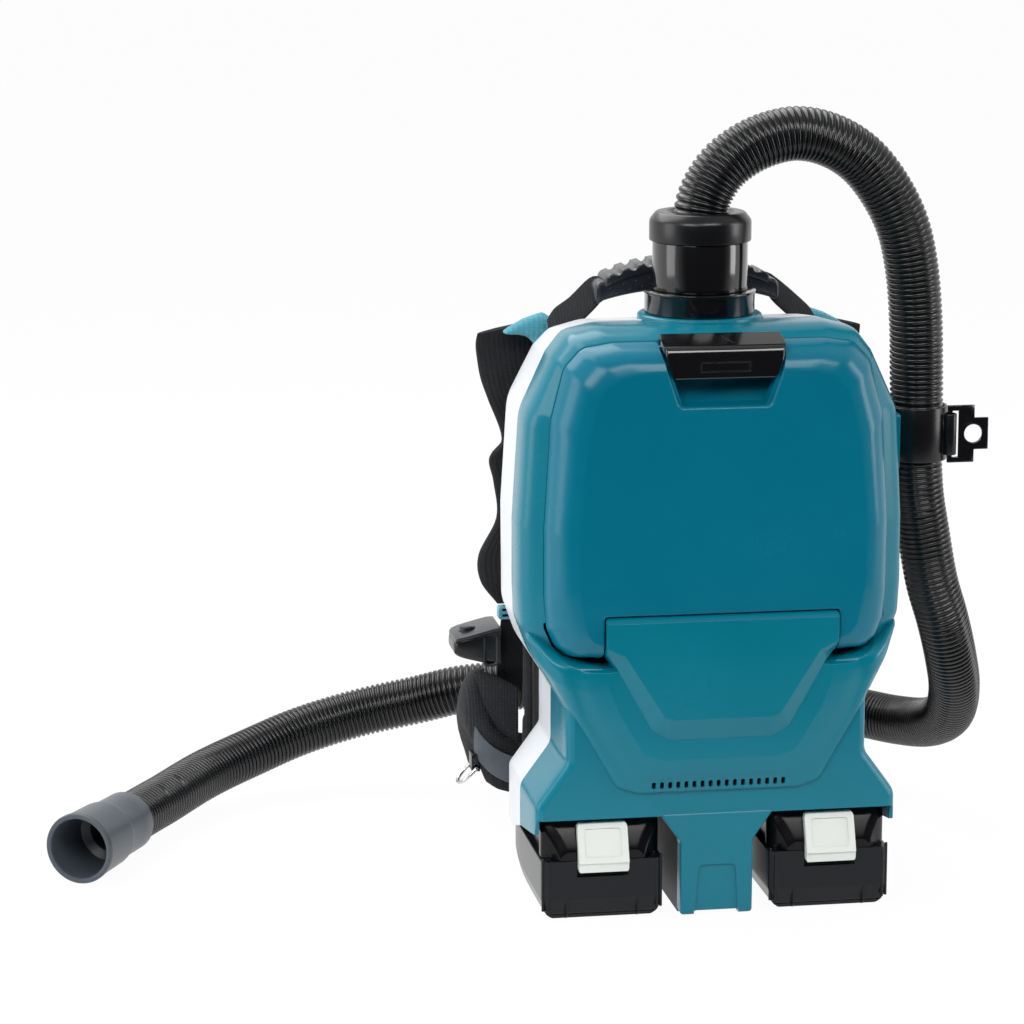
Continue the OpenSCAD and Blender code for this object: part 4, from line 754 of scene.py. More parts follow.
# %% Foot, collar and ear
foot_half = [(22.5, 0), (22.5, 46), (36, 65)]
foot = stack("foot", [2.5, 6, 0.8],
             [(y, foot_half, d) for y, d in ((-71, 1.6), (-70.2, 0.4), (-69, 0), (-61, 0))])
join(foot, block((-22.5, -62, 0), (22.5, 20, 65)))
cut(foot, block((-19.5, -68, 3), (19.5, 17, 66)),
    slab(rounded(mirrored([(13.6, -2), (11.4, 31.5)]), [1, 3.2, 3.2, 1], 4), -72, -69.9),
    block((-14, -72, -1), (14, -62, 2.6)))
join(housing, foot)
collar_seat = lathe("collar_seat", [(0, 349), (38, 349), (38, 359.6), (37.7, 360.6), (36.9, 361.2),
                                    (36, 361.3), (0, 361.3)], (0, neck_y, 0))
join(housing, collar_seat)
ear = [(-26, 264), (10, 264), (16, 271), (16, 291), (10, 298), (-26, 298)]
join(housing, plank(rounded(ear, [2, 5, 5, 5, 5, 2]), 118, 121.8),
    block((115.5, -28, 264), (118.1, -16, 298)))

# %% Vents and bores
for k in range(17):
    x = (k - 8) * 5
    boolean(housing, slab(rounded(panel(x - 1.2, 81.2, x + 1.2, 85.4), 0.9, 3), -85, -60))
cut(housing, *both(lambda s: rod(2.56, (61 * s, hinge_y, hinge_z), (90 * s, hinge_y, hinge_z))),
    rod(28.3, (0, neck_y, 300), (0, neck_y, 400), sides=96))
even_shading(housing)
dress(housing, body_teal, "cleaner", "front_housing")

# %% Painted shade on the sides of the foot
# The foot's sides lie deep between the batteries, where shadow falls. Their faces get the black finish as
# painted shade, instead of the housing's teal.
housing.data.materials.append(black_matte)
for face in housing.data.polygons:
    spot = face.center / MM
    if spot.y > -60 and spot.z < 64.6 and abs(spot.x) < 37:
        face.material_index = 1

# %% Ribs, rim, bosses and posts inside
core = cores.pop(0)
for other in cores:
    boolean(core, other, "UNION")
add_lugs("front_housing", "housing_lugs", core, body_teal, "cleaner")
print("housing", len(housing.data.polygons), "faces")

# %% [markdown]
# ## Rear frame
# The white rear shell meets the housing in a thin line and tapers towards the wearer's back. Its
# outline has the same corners, with the waist a little higher, and its roof drops to the rear.

# %% Outer and inner form of the frame
def frame_half(drop):
    return [(104, 27), (112, 36), (112, 72), (93, 98), (93, 133), (110, 160), (117, 180), (117.5, 240),
            (113.5, 306), (97, 341 - drop / 2), (87, 354 - drop), (68, 359 - drop)]


frame_radii = [3, 4, 8, 8, 10, 14, 20, 30, 34, 12, 12, 30]


def frame_form(name, d):
    if d:
        levels = [(-17, frame_half(0), d), (-14, frame_half(0), d), (34 - d, frame_half(5), d + 0.5),
                  (46 - d, frame_half(7), 0.7 * d + 4), (56 - d, frame_half(7.9), 0.2 * d + 11)]
    else:
        levels = [(-14, frame_half(0), 0.5), (-13.6, frame_half(0), 0), (34, frame_half(5), 0.5),
                  (46, frame_half(7), 4), (56, frame_half(7.9), 11)]
    return stack(name, frame_radii, levels)


# %% Rear frame
shell = frame_form("frame_shell", 0)
cut(shell, frame_form("frame_inner", WALL))
for tool in both(lambda s: block(*span((56, 45, 0), (96, 52, 40), s))):
    modify(tool, "BEVEL", width=1.5 * MM, segments=3)
    boolean(shell, tool, "UNION")
cut(shell, block((-109.4, -60, -1), (109.4, 44.6, 64.7)))
rise = [(-30, 49.6), (46, 28), (46, 0), (-30, 0)]
cut(shell, *both(lambda s: plank(rise, *sorted((105 * s, 140 * s)))),
    rod(38.4, (0, neck_y, 348), (0, neck_y, 390), sides=96),
    *both(lambda s: block(*span((69.9, 28.9, 347.9), (87.1, 55.1, 356.7), s))))
for x, z in ((100, 232), (72, 326), (76, 118)):
    cut(shell, *both(lambda s: rod(4.6, (x * s, 48, z), (x * s, 60, z), sides=32)))
even_shading(shell)
dress(shell, shell_white, "cleaner", "rear_frame")
add_lugs("rear_frame", "frame_lugs", frame_form("frame_core", CORE), shell_white, "cleaner")
print("frame", len(shell.data.polygons), "faces")

# %% [markdown]
# ## Latch
# The latch is a glossy black flap. Its top slopes forward, rolls over into the front face with a
# soft round, and its lower corners are drawn in. A plain arrow outline is engraved on its top and
# a shallow line frame on its front.

# %% Latch
side = [(-80.4, 332), (-75, 331.6), (-68.8, 346), (-67.5, 350.9), (-60.2, 352.6), (-60.2, 357.2),
        (-80.4, 350.2)]
front = mirrored([(31, 332), (37, 349), (37, 360)])
latch = plank(rounded(side, [1.8, 0.8, 2, 2, 0.3, 1.0, 6.5], 8), -38, 38, "latch_flap")
outline = slab(rounded(front, [5, 7, 1, 1, 7, 5], 6), -100, 0)
boolean(latch, outline, "INTERSECT")
plan = rounded([(-36.4, -50), (-36.4, -66), (-37, -68), (-37, -80.6), (37, -80.6), (37, -68), (36.4, -66),
                (36.4, -50)], [1, 1, 1, 7, 7, 1, 1, 1], 8)
boolean(latch, loft("plan", [[Vector((x, y, z)) for x, y in plan] for z in (325, 365)]), "INTERSECT")
bevel(latch, 0.9)
join(latch, rod(3, (-36.4, latch_y, latch_z), (36.4, latch_y, latch_z)))
hollow = plank([(-77.8, 330), (-66, 330), (-66, 351.8), (-77, 347.6)], -50, 50)
boolean(hollow, slab(inset(front, 2), -100, 0), "INTERSECT")
cut(latch, hollow)
join(latch, block((-10, -77.5, 338.6), (10, -53.8, 341.4)), block((-10, -56.4, 341), (10, -53.8, 342.9)))
cut(latch, *both(lambda s: rod(2.7, (19.5 * s, latch_y, latch_z), (24.5 * s, latch_y, latch_z))),
    *both(lambda s: block(*span((19.5, -66.5, 344), (24.5, -58.5, latch_z), s))),
    rod(1.26, (-50, latch_y, latch_z), (50, latch_y, latch_z)))

# %% Line frame on the latch
groove = block((-15, -81, 336.4), (15, -79.9, 342.4))
cut(groove, block((-14.4, -82, 337), (14.4, -79, 341.8)))
cut(latch, groove)
finish_normals(latch, 34, merge=FINE)
dress(latch, black_gloss, "latch", "cover_latch")

# %% [markdown]
# The arrow on the latch is a shallow cut that follows the slope of its top. Two outlines, one just
# below the surface and one above it, are lofted into the cutter.

# %% Arrow on the latch
def latch_top(y):
    return 357.2 + (y + 60.2) * 7 / 20.2


arrow = [(-6, -73.6), (-4.9, -73.6), (0, -66.4), (4.9, -73.6), (6, -73.6), (0, -64.8)]
cutter = [[Vector((x, y, latch_top(y) + d)) for x, y in arrow] for d in (-0.7, 1.5)]
cut(latch, loft("arrow_cutter", cutter))
even_shading(latch)
print("latch", len(latch.data.polygons), "faces")

# %% [markdown]
# ## Hose connector
# The connector is a stack of turned parts: the knurled lock ring, the neck that turns with it, and
# the collar that holds the hose. The profiles have small rounds at every edge, because the dark
# gloss shows each of them as a line of light.

# %% Connector
at = (0, neck_y, 0)
lock = lathe("lock_ring_turned",
             [(25.05, 361.6), (33, 361.6), (33.5, 361.8), (33.6, 362.4), (33.6, 373), (33.75, 373.4),
              (34.15, 373.5), (34.3, 373.8), (34.3, 375), (34.1, 375.3), (33.7, 375.4),
              (25.05, 375.4)], at)
dress(lock, black_gloss, "connector", "lock_ring")
neck = lathe("neck_turned",
             [(21, 345), (25, 345), (25, 375.6), (28.2, 375.6), (28.8, 375.9), (29, 376.5), (29, 404.1),
              (28.8, 404.8), (28.2, 405), (24.35, 405), (24.35, 387.7), (21, 387.7)], at)
dress(neck, black_gloss, "connector", "hose_neck")
collar = lathe("collar_turned",
               [(13.4, 388), (24, 388), (24, 405.3), (30.2, 405.3), (30.8, 405.6), (31, 406.2), (31, 416.6),
                (30.8, 417.7), (30.3, 418.8), (27.6, 422.2), (26.8, 422.8), (26, 423), (21.4, 423),
                (20.6, 422.8), (17.8, 421), (17.8, 414), (20.6, 411), (20.6, 392), (13.4, 392)], at)
dress(collar, black_satin, "cleaner", "swivel_collar")

# %% [markdown]
# ## Batteries
# Each battery slides on from the front. Its lower case is a dark tub with drawn-in corners, a
# sloping lower edge and round-headed ribs at its front corners. Its top is a glossier block whose
# front slopes back and widens upwards, with grooves for the rails. One battery is modelled in the
# middle of the cleaner, and two copies move to their places.

# %% Moving copies
def shifted(piece, name, dx):
    """A copy of a piece with its own mesh, moved sideways by dx millimetres."""
    made = piece.copy()
    made.data = piece.data.copy()
    made.name = name
    scene.collection.objects.link(made)
    alone(made)
    bpy.ops.transform.translate(value=(dx * MM, 0, 0))
    bpy.ops.object.transform_apply(location=True, rotation=False, scale=False)
    return made


# %% Battery case
def case_half(w, low):
    return [(w - 6.5, low), (w - 2.4, low + 3.2), (w, low + 12), (w, 37.2)]


case = stack("case", [4, 6, 8, 0.8],
             [(y, case_half(w, low), 0) for y, w, low in (
                 (-70, 33.4, 3.2), (-69.7, 34.0, 2.4), (-67.2, 37, 0.9), (-66, 37.5, 0.6), (12, 37.5, 0.6),
                 (32, 36.6, 5), (36, 36, 9.6))])
heel = [(-72, 14.4), (-70, 13.4), (-65.4, 0), (-72, -1)]
for x0, x1 in ((-50, -22.6), (-21.4, 21.4), (22.6, 50)):
    boolean(case, plank(heel, x0, x1))
for x, y, top in ((36.3, -67.4, 38.4), (33.6, -69.6, 34)):
    for sign in (1, -1):
        boolean(case, rod(0.95, (x * sign, y, 6), (x * sign, y, top), sides=20), "UNION")
        bpy.ops.mesh.primitive_uv_sphere_add(segments=20, ring_count=12, radius=0.96 * MM,
                                             location=(x * sign * MM, y * MM, top * MM))
        boolean(case, bpy.context.object, "UNION")
seat_half = 15.8
seat = [(-80, 27.2), (-80, 80), (-58, 80), (-61.8, 60), (-68, 27.2)]
cut(case, plank(seat, -seat_half, seat_half), block((-32.9, -66.6, 3), (32.9, 24.6, 35)),
    block((-32.9, -56, 34), (32.9, 24.6, 41)))
join(case, *both(lambda s: block(*span((24, -63.6, 36), (33.6, -50, 39.5), s))))
even_shading(case)

# %% Battery top
def top_half(w, z):
    return [(w, 37.4), (w, z - 3.4), (w - 4.4, z)]


top = stack("top", [0.6, 4, 4],
            [(y, top_half(w, z), 0) for y, w, z in (
                (-69.4, 26, 42.8), (-68.9, 26.5, 44.4), (-66, 29, 50.2), (-62.4, 33.2, 57),
                (-59.4, 36, 61.8), (-57, 36.4, 62.6), (-52, 36.4, 62.6), (-49, 34, 62.6),
                (38, 34, 62.6))])
cut(top, *both(lambda s: block(*span((30, -48, 55), (39, 100, 58.6), s))),
    block((-31, -54, 36), (31, 34, 52)), plank(seat, -seat_half, seat_half))
even_shading(top)

# %% Release button
button_side = [(-75.2, 31), (-75.7, 37), (-66.7, 60), (-62.6, 60), (-67.6, 35), (-69, 31)]
button = plank(rounded(button_side, [1.0, 1.0, 1.4, 0.4, 0.3, 0.3], 4), -15.4, 15.4, "button")
face_outline = rounded(panel(-15.4, 30.8, 15.4, 60.2), [2.2, 2.2, 3.4, 3.4], 6)
boolean(button, slab(face_outline, -90, -50), "INTERSECT")
cut(button, plank([(-80, 28), (-80, 36.4), (-74.8, 36.8), (-74.3, 28)], -20, 20))
sunk = slab(rounded(panel(-11.3, -9, 11.3, 8.6), 2.2, 5), -6, 0.8)
sunk.rotation_euler = (math.radians(-21.4), 0, 0)
sunk.location = (0, -71.2 * MM, 48.6 * MM)
alone(sunk)
bpy.ops.object.transform_apply(location=True, rotation=True, scale=True)
cut(button, sunk)
bevel(button, 0.5, angle=48)
even_shading(button, 40)

# %% Two batteries
lid_black = plastic("deep_black", (0.0025, 0.0027, 0.0035), 0.2, specular=0.22, edge=0.5)
case_black = plastic("smoky_black", (0.0055, 0.0068, 0.0095), 0.22, grain=0.04, specular=0.25, edge=0.5)
battery_x = 70.5
for side, sign in (("left", -1), ("right", 1)):
    body, dx = "battery_" + side, battery_x * sign
    dress(shifted(case, body + "_tub", dx), case_black, body, body + "_case")
    dress(shifted(top, body + "_lid", dx), lid_black, body, body + "_top")
    dress(shifted(button, body + "_key", dx), button_white, body + "_release",
          body + "_button")
print("battery", len(case.data.polygons), len(top.data.polygons), len(button.data.polygons), "faces")
for piece in (case, top, button):
    bpy.data.objects.remove(piece)

# %% [markdown]
# ## Bands
# Webbing and straps are bands that follow a line. A station holds the middle of the band, half its
# thickness, how far it bows, and half its width as a vector. A smooth curve runs through the
# stations, a flat section with rounded edges follows it, and the UV map keeps real lengths for the
# weave. A little waver stops a long band from looking machined.

# %% Ribbon
band_section = [(1, -0.86), (1, -0.5), (1, 0), (1, 0.5), (1, 0.86), (0.72, 0.96), (0, 1), (-0.72, 0.96),
                (-1, 0.86), (-1, 0.5), (-1, 0), (-1, -0.5), (-1, -0.86), (-0.72, -0.96), (0, -1),
                (0.72, -0.96)]


def ribbon(name, stations, n, crown=0.0, waver=0.0, mirror=False):
    """A band through stations with n steps a stretch; mirror turns it to the right side."""
    line = through(stations, n)
    rings, runs, widths, run = [], [], [], 0.0
    for k, st in enumerate(line):
        a, b = Vector(line[max(0, k - 1)][:3]), Vector(line[min(len(line) - 1, k + 1)][:3])
        centre, across = Vector(st[:3]), Vector(st[5:8])
        if k:
            run += (centre - Vector(line[k - 1][:3])).length
        side = (b - a).cross(across).normalized()
        ring = []
        for t, w in band_section:
            thick = t * st[3] * (1 - crown * abs(w) ** 3)
            ripple = waver * noise.noise(Vector((run * 0.035, w * 1.6, 7.3)))
            ring.append(centre + side * (thick + st[4] * w * w + ripple) + across * w)
        rings.append(ring)
        runs.append(run)
        widths.append(across.length)
    made = loft(name, rings, 40)
    table = {}
    for ring, r, w in zip(rings, runs, widths):
        for p, (_, share) in zip(ring, band_section):
            table[tuple(round(c, 3) for c in p)] = (share * w * MM, r * MM)
    layer = made.data.uv_layers.new(name="weave")
    for loop in made.data.loops:
        key = tuple(round(c / MM, 3) for c in made.data.vertices[loop.vertex_index].co)
        layer.data[loop.index].uv = table.get(key) or near(table, key)
    if mirror:
        alone(made)
        bpy.ops.transform.mirror(constraint_axis=(True, False, False))
        bpy.ops.object.transform_apply(location=True, rotation=True, scale=True)
        enter(made)
        bpy.ops.mesh.normals_make_consistent(inside=False)
        leave()
    return made


def near(table, key):
    spot = Vector(key)
    return table[min(table, key=lambda k: (Vector(k) - spot).length_squared)]


# %% [markdown]
# ## Padded cloth
# A pad is a bag of cloth filled with foam. The shape is remeshed into even faces, blown up a little
# by the cloth simulation with its travel capped, and frozen. Sewn channels are pressed in
# afterwards, because the remesh would erase them.

# %% Puff and channels
SWELL_FRAMES = 18


def puff(piece, voxel, pressure, cap):
    """Remeshes a piece and lets it swell; no point travels further than cap millimetres."""
    modify(piece, "REMESH", mode="VOXEL", voxel_size=voxel * MM)
    start = [v.co.copy() for v in piece.data.vertices]
    cloth_modifier = piece.modifiers.new("cloth", "CLOTH")
    cloth_modifier.settings.use_pressure = True
    cloth_modifier.settings.uniform_pressure_force = pressure
    cloth_modifier.settings.effector_weights.gravity = 0
    cloth_modifier.point_cache.frame_end = SWELL_FRAMES
    for f in range(1, SWELL_FRAMES + 1):
        scene.frame_set(f)
    swollen = piece.evaluated_get(bpy.context.evaluated_depsgraph_get()).data
    ends = [v.co.copy() for v in swollen.vertices]
    piece.modifiers.remove(cloth_modifier)
    scene.frame_set(1)
    for v, a, b in zip(piece.data.vertices, start, ends):
        step = b - a
        v.co = a + step * min(1, cap * MM / max(step.length, 1e-9))
    modify(piece, "SUBSURF", levels=1, render_levels=1)
    alone(piece)
    bpy.ops.object.shade_smooth()


def press(piece, depth, width, distance):
    """Presses a channel into a piece; distance gives each point's distance from it, or None."""
    for v in piece.data.vertices:
        d = distance(v.co / MM)
        if d is not None and d < 3 * width:
            v.co -= v.normal * depth * MM * math.exp(-(d / width) ** 2)


# %% [markdown]
# ## Carry handle
# A webbing arch comes out of two slots in the roof, and a rubber grip sits round its middle. The
# webbing is ribbed across its run and turns its face a little to the front at both ends. The grip
# is lofted along the arch; its raised upper plate has finger notches, and two rows of small dots
# help the hand.

# %% Handle webbing
def arch_z(x):
    return 356.6 + 26.4 * (1 - min(1, abs(x) / 82) ** 2.3)


handle_line = [(-84.4, 43, 345.4, 1, 0, 0, 6, 5), (-79.5, 43, 348.8, 1, 0, 0, 8.6, 8.4),
               (-70, 43, 355.6, 1, 0, 0, 8.6, 8.4)]
handle_line += [(8.2 * i, 43, arch_z(8.2 * i) - 1 - 3 * lean, 1, 0, 0, 11 - 2.4 * lean, 8.4 * lean)
                for i, lean in ((i, min(1, max(0, (abs(8.2 * i) - 44) / 13))) for i in range(-7, 8))]
handle_line += [(-x, y, z, t, b, *u) for x, y, z, t, b, *u in reversed(handle_line[:2])]
strap_ribs = cloth("cross_ribbed_webbing", (0.017, 0.018, 0.021), 0.9, 2.1, 0.9)
dress(ribbon("handle_band", handle_line, 4), strap_ribs, "cleaner", "handle_webbing")

# %% Grip
def grip_ring(x, grow):
    fall = 1 - 0.3 * (x / 58) ** 2
    z0, z1 = arch_z(x) - 13 * fall - grow, arch_z(x) + 3.6 * fall + grow
    return [Vector((x, p.x, p.y)) for p in
            rounded([(30 - grow, z0 + 2), (32 - grow, z0), (54 + grow, z0), (56 + grow, z0 + 2),
                     (56 + grow, z1), (30 - grow, z1)], [2.5, 2.5, 2.5, 2.5, 3.4, 3.4], 3)]


def along_grip(ring, ends, middle):
    """Rings from one end to the other; the ends are (distance from the middle, ring's setting)."""
    return ([ring(-x, d) for x, d in ends] + [ring(4 * i, middle) for i in range(-12, 13)]
            + [ring(x, d) for x, d in reversed(ends)])


grip_ends = [(58, -2.2), (57.7, -0.9), (57, -0.1), (55.6, 0.5), (54, 0.3), (52.4, -0.3)]
grip = loft("grip", along_grip(grip_ring, grip_ends, -0.3))


def plate_ring(x, drop):
    z1 = arch_z(x) + 6.4 * (1 - 0.25 * (x / 58) ** 2) - drop
    return [Vector((x, p.x, p.y)) for p in
            rounded(panel(28.7 + drop, z1 - 6.6 + drop, 57.3 - drop, z1), 1.7, 3)]


plate = loft("grip_plate", along_grip(plate_ring, [(52, 1.9), (51, 0.6), (49.6, 0)], 0))
for k in range(-5, 5):
    x = 9.8 * (k + 0.5)
    boolean(plate, rod(2.9, (x, 20, arch_z(x) + 6.2), (x, 70, arch_z(x) + 6.2), sides=24))
bevel(plate, 0.5, segments=2)
finish_normals(plate, 40, merge=FINE)
dots = bmesh.new()
for row in (0, 1):
    for k in range(-6, 7):
        x = 8 * k + 4 * row
        if abs(x) < 52:
            spot = Vector((x, 30.1, arch_z(x) - 3.6 - 4.2 * row)) * MM
            bmesh.ops.create_icosphere(dots, subdivisions=2, radius=0.75 * MM,
                                       matrix=Matrix.Translation(spot))
dot_mesh = bpy.data.meshes.new("grip_dots")
dots.to_mesh(dot_mesh)
dots.free()
dot_piece = bpy.data.objects.new("grip_dots", dot_mesh)
scene.collection.objects.link(dot_piece)
finish_normals(dot_piece, 60)
grip_rubber = plastic("grip_rubber", (0.016, 0.019, 0.026), 0.27, grain=0.12, specular=0.5, edge=0.4)
for piece in (grip, plate, dot_piece):
    dress(piece, grip_rubber, "cleaner", "handle_grip")
slots = copy_of("handle_anchors", "handle_slots")
boolean(slots, frame_form("roof_skin", 0.3), "INTERSECT")
even_shading(slots)
dress(slots, black_satin, "cleaner", "handle_anchors")
print("grip", len(grip.data.polygons), "plate", len(plate.data.polygons), "faces")

# %% [markdown]
# ## Back pad and yoke
# The pad that lies on the wearer's back is filled foam under spacer mesh, with sewn channels for
# air. The yoke above it carries the straps and is covered in light teal cloth. Both are lofted a
# little small, blown up and pressed flat where they rest on the plate.

# %% Back pad
def round_half(w, z0, z1, r):
    """Half an outline of half width w, with round corners of radius r."""
    def arc(z, start):
        turns = [math.radians(k) for k in range(start, start + 91, 15)]
        return [(w - r + r * math.cos(a), z + r * math.sin(a)) for a in turns]
    return mirrored(arc(z0 + r, -90) + arc(z1 - r, 0))


pad_front, pad_back = 61.6, 79.6
pad_steps = ((3.5, pad_front), (1.5, 64.5), (1.5, 73), (4, 76.5), (9, pad_back - 1.4))
pad = loft("pad_filling",
           [at_depth(round_half(104 - d, 18 + d, 318 - d, 24), y) for d, y in pad_steps])
puff(pad, 5.0, 4.0, 6.0)
press(pad, 3.4, 3.2, lambda p: abs(abs(p.x) - 33.5) if p.y > 68 else None)
for level in (96, 168, 240):
    press(pad, 3.4, 3.0, lambda p, z=level: abs(p.z - z) if p.y > 66 else None)
for v in pad.data.vertices:
    v.co.y = max(v.co.y, pad_front * MM)
dress(pad, pad_cloth, "cleaner", "back_pad")
dress(moulded("back_plate", "harness_plate", 1.2), black_satin, "cleaner", "back_plate")

# %% Two-tone cloth of the yoke
def yoke_finish(name, seam_z):
    """Teal cloth above a zigzag seam, corduroy below it."""
    made, tree = blank(name)
    where = node_in(tree, "TexCoord")
    axes = node_in(tree, "SeparateXYZ", {0: where.outputs["Object"]})
    zigzag = node_in(tree, "Math", {0: axes.outputs["X"], 1: 0.0016}, operation="PINGPONG")
    height = node_in(tree, "Math", {0: axes.outputs["Z"], 1: zigzag.outputs[0]}, operation="ADD")
    above = node_in(tree, "Math", {0: height.outputs[0], 1: seam_z * MM}, operation="GREATER_THAN")
    ribs = node_in(tree, "TexWave",
                   {"Vector": where.outputs["Object"], "Scale": 0.314 / (3.2 * MM), "Distortion": 0.2},
                   bands_direction="X")
    fine = node_in(tree, "TexWave",
                   {"Vector": where.outputs["Object"], "Scale": 0.314 / (0.9 * MM), "Distortion": 0.3},
                   bands_direction="Z")
    dark = node_in(tree, "Mix", {0: ribs.outputs["Fac"], 6: (0.007, 0.0075, 0.009, 1),
                                           7: (0.026, 0.028, 0.032, 1)}, data_type="RGBA")
    light = node_in(tree, "Mix", {0: fine.outputs["Fac"], 6: (0.05, 0.26, 0.34, 1),
                                            7: (0.08, 0.33, 0.42, 1)}, data_type="RGBA")
    tint = node_in(tree, "Mix", {0: above.outputs[0], 6: dark.outputs[2], 7: light.outputs[2]},
                   data_type="RGBA")
    relief = node_in(tree, "Math", {0: ribs.outputs["Fac"], 1: fine.outputs["Fac"]}, operation="ADD")
    bump = node_in(tree, "Bump", {"Strength": 0.6, "Distance": 0.0006, "Height": relief.outputs[0]})
    shader = node_in(tree, "BsdfPrincipled",
                     {"Base Color": tint.outputs[2], "Roughness": 0.8, "Normal": bump.outputs[0],
                      "Specular IOR Level": 0.2, "Sheen Weight": 0.2})
    node_in(tree, "OutputMaterial", {"Surface": shader.outputs[0]})
    return made


yoke_cloth = yoke_finish("yoke_cloth", 330)

# %% Yoke
yoke_half = mirrored([(70, 321), (86, 322), (93, 337), (110.4, 337.6), (112.4, 341), (98, 349), (84, 354.4),
                      (66, 341)])
yoke = loft("yoke_filling", [at_depth(rounded(inset(yoke_half, d), 6, 3), y)
                             for d, y in ((3.5, pad_front), (1, 66), (1, 74), (4, 77.5))])
puff(yoke, 4.0, 2.0, 2.0)
for v in yoke.data.vertices:
    v.co.y = max(v.co.y, pad_front * MM)
dress(yoke, yoke_cloth, "cleaner", "shoulder_yoke")
print("pad", len(pad.data.polygons), "yoke", len(yoke.data.polygons), "faces")

# %% [markdown]
# ## Straps, belt and webbing
# The shoulder straps are thin foam in a corduroy cover, so they are bands with a slight crown and
# some waver where they hang in folds. The wings of the hip belt are thicker and get filled. Narrow
# webbing, buckles, a grey reflective stripe and a wire ring finish the harness.

# %% Shoulder straps
strap_line = [(-100, 80.4, 343, 1.6, 0, 23.5, 0, 5), (-99, 84.4, 333, 3.4, 0, 25, 0, 2)]
strap_line += [(*p, 4.5, 0, 25, 0, 0) for p in (
    (-98, 86, 322), (-95, 90.1, 308), (-88, 104, 292), (-77, 118, 264), (-84, 125, 250), (-81, 126, 234),
    (-80, 121, 212), (-93, 112, 190))]
strap_line += [(-94, 104, 174, 4.5, 0, 24, 0, 0), (-92, 99, 160, 2.4, 0, 16, 0, 0)]
for side in ("left", "right"):
    strap = ribbon("strap_" + side, strap_line, 8, crown=0.35, waver=0.9, mirror=side == "right")
    dress(strap, ribbed_strap, "cleaner", "shoulder_strap_" + side)

# %% Hip belt
def upright(stations):
    """Stations of a band that stands on its edge: (x, y, z, half thickness, bow, half width)."""
    return [(x, y, z, t, b, 0, 0, w) for x, y, z, t, b, w in stations]


wing_front = [(-84, 85.1, 53, 4.7, 0, 18), (-100, 85.7, 55, 5.5, 0, 19), (-113, 91, 61, 5.5, 2, 22),
              (-118, 99, 69, 5.5, 5, 25), (-122, 111, 84, 5.5, 8, 28), (-123, 128, 86, 5.5, 8, 27),
              (-121, 150, 78, 5.5, 6, 26), (-116, 172, 64, 5.5, 4, 25)]
wing_left = wing_front + [(-110, 194, 48, 5.5, 3, 22), (-105, 213, 36, 5.5, 2, 19),
                          (-99, 226, 30, 3.5, 0, 17)]
wing_right = wing_front + [(-111, 186, 46, 5.5, 3, 22), (-106, 198, 30, 5.5, 2, 17),
                           (-101, 207, 22, 3.5, 0, 14)]
for side, line in (("left", wing_left), ("right", wing_right)):
    lean = [(x, y, z, t - 0.9, b, w - 1) for x, y, z, t, b, w in line]
    wing = ribbon("wing_" + side, upright(lean), 6, mirror=side == "right")
    puff(wing, 4.0, 3.0, 3.0)
    dress(wing, pad_cloth, "cleaner", "hip_belt_" + side)
    print("wing", side, len(wing.data.polygons), "faces")

# %% Gusset and stripe of the belt
gusset_line = upright([(-97, 86, 84, 1.6, 0, 24), (-106, 92, 86, 1.6, 0, 26), (-114, 101, 88, 1.6, 0, 26),
                       (-119, 112, 88, 1.6, 0, 25)])
for side in ("left", "right"):
    gusset = ribbon("gusset_" + side, gusset_line, 6, mirror=side == "right")
    dress(gusset, pad_cloth, "cleaner", "hip_belt_" + side)
stripe_line = upright([(-92, 78.3, 53, 0.5, 0, 9), (-103, 79.6, 55, 0.5, 0, 9.2),
                       (-113, 84.2, 59.4, 0.5, 0.4, 9.4), (-119.8, 91, 65, 0.5, 0.8, 9.6),
                       (-123.2, 98, 70, 0.5, 0.8, 9.6)])
dress(ribbon("belt_stripe", stripe_line, 6), grey_tape, "cleaner", "hip_belt_left")

# %% Webbing
def flat(points, u):
    """Stations of plain webbing through points; u is the half width as a vector."""
    return [(*p, 1, 0, *u) for p in points]


belt_lines = {"left": [(-98.6, 226.8, 29.5), (-78, 243, 24), (-54, 249, 19), (-30.2, 251, 17)],
              "right": [(30.2, 251, 17), (56, 243, 17), (80, 229, 18), (100.6, 207.8, 21.5)]}
for side, line in belt_lines.items():
    dress(ribbon("belt_web_" + side, flat(line, (0, 0, 12.5)), 8), webbing, "cleaner",
          "belt_webbing")
drop = flat([(-94, 99, 158.6), (-96, 100, 142), (-97, 101, 126), (-98, 103, 104)], (10.3, 0, 0))
for side in ("left", "right"):
    dress(ribbon("strap_web_" + side, drop, 8, mirror=side == "right"), webbing, "cleaner",
          "strap_webbing")

# %% Buckles, ring tab and ring
for node, name, width in (("buckle_socket", "buckle_shell", 1.2), ("buckle_plug", "buckle_tongue", 0.7),
                          ("ring_tab", "ring_loop", 0.6)):
    dress(moulded(node, name, width), black_satin, "cleaner", node)

# %% Strap sliders
slider_teal = plastic("slider_teal", (0.12, 0.4, 0.5), 0.35, edge=0.4)
slider = slab(rounded(panel(-107.6, 150, -84.4, 158.4), 2, 4), 95.8, 103.4, "slider")
for z in (151.6, 155.2):
    boolean(slider, slab(rounded(panel(-105, z, -87, z + 1.8), 0.8, 3), 90, 110))
bevel(slider, 0.7)
finish_normals(slider, 40, merge=FINE)
for piece in (slider, shifted(slider, "slider_right", 192)):
    dress(piece, slider_teal, "cleaner", "strap_webbing")

# %% [markdown]
# The control box on the strap is a slim pod: its nose is low and rounded, and it grows towards the
# strap. A lighter rim follows its top, a raised U frames its front, and a round button sits in the
# nose.

# %% Control box
pod_z = 134
pod_levels = [(-137.2, 2.6, 5), (-136.6, 4.4, 3.4), (-135, 5.8, 2), (-131, 7.2, 0.8),
              (-125, 8.6, 0), (-118, 10.4, 0), (-112, 11.8, 0), (-107.6, 12, 0)]


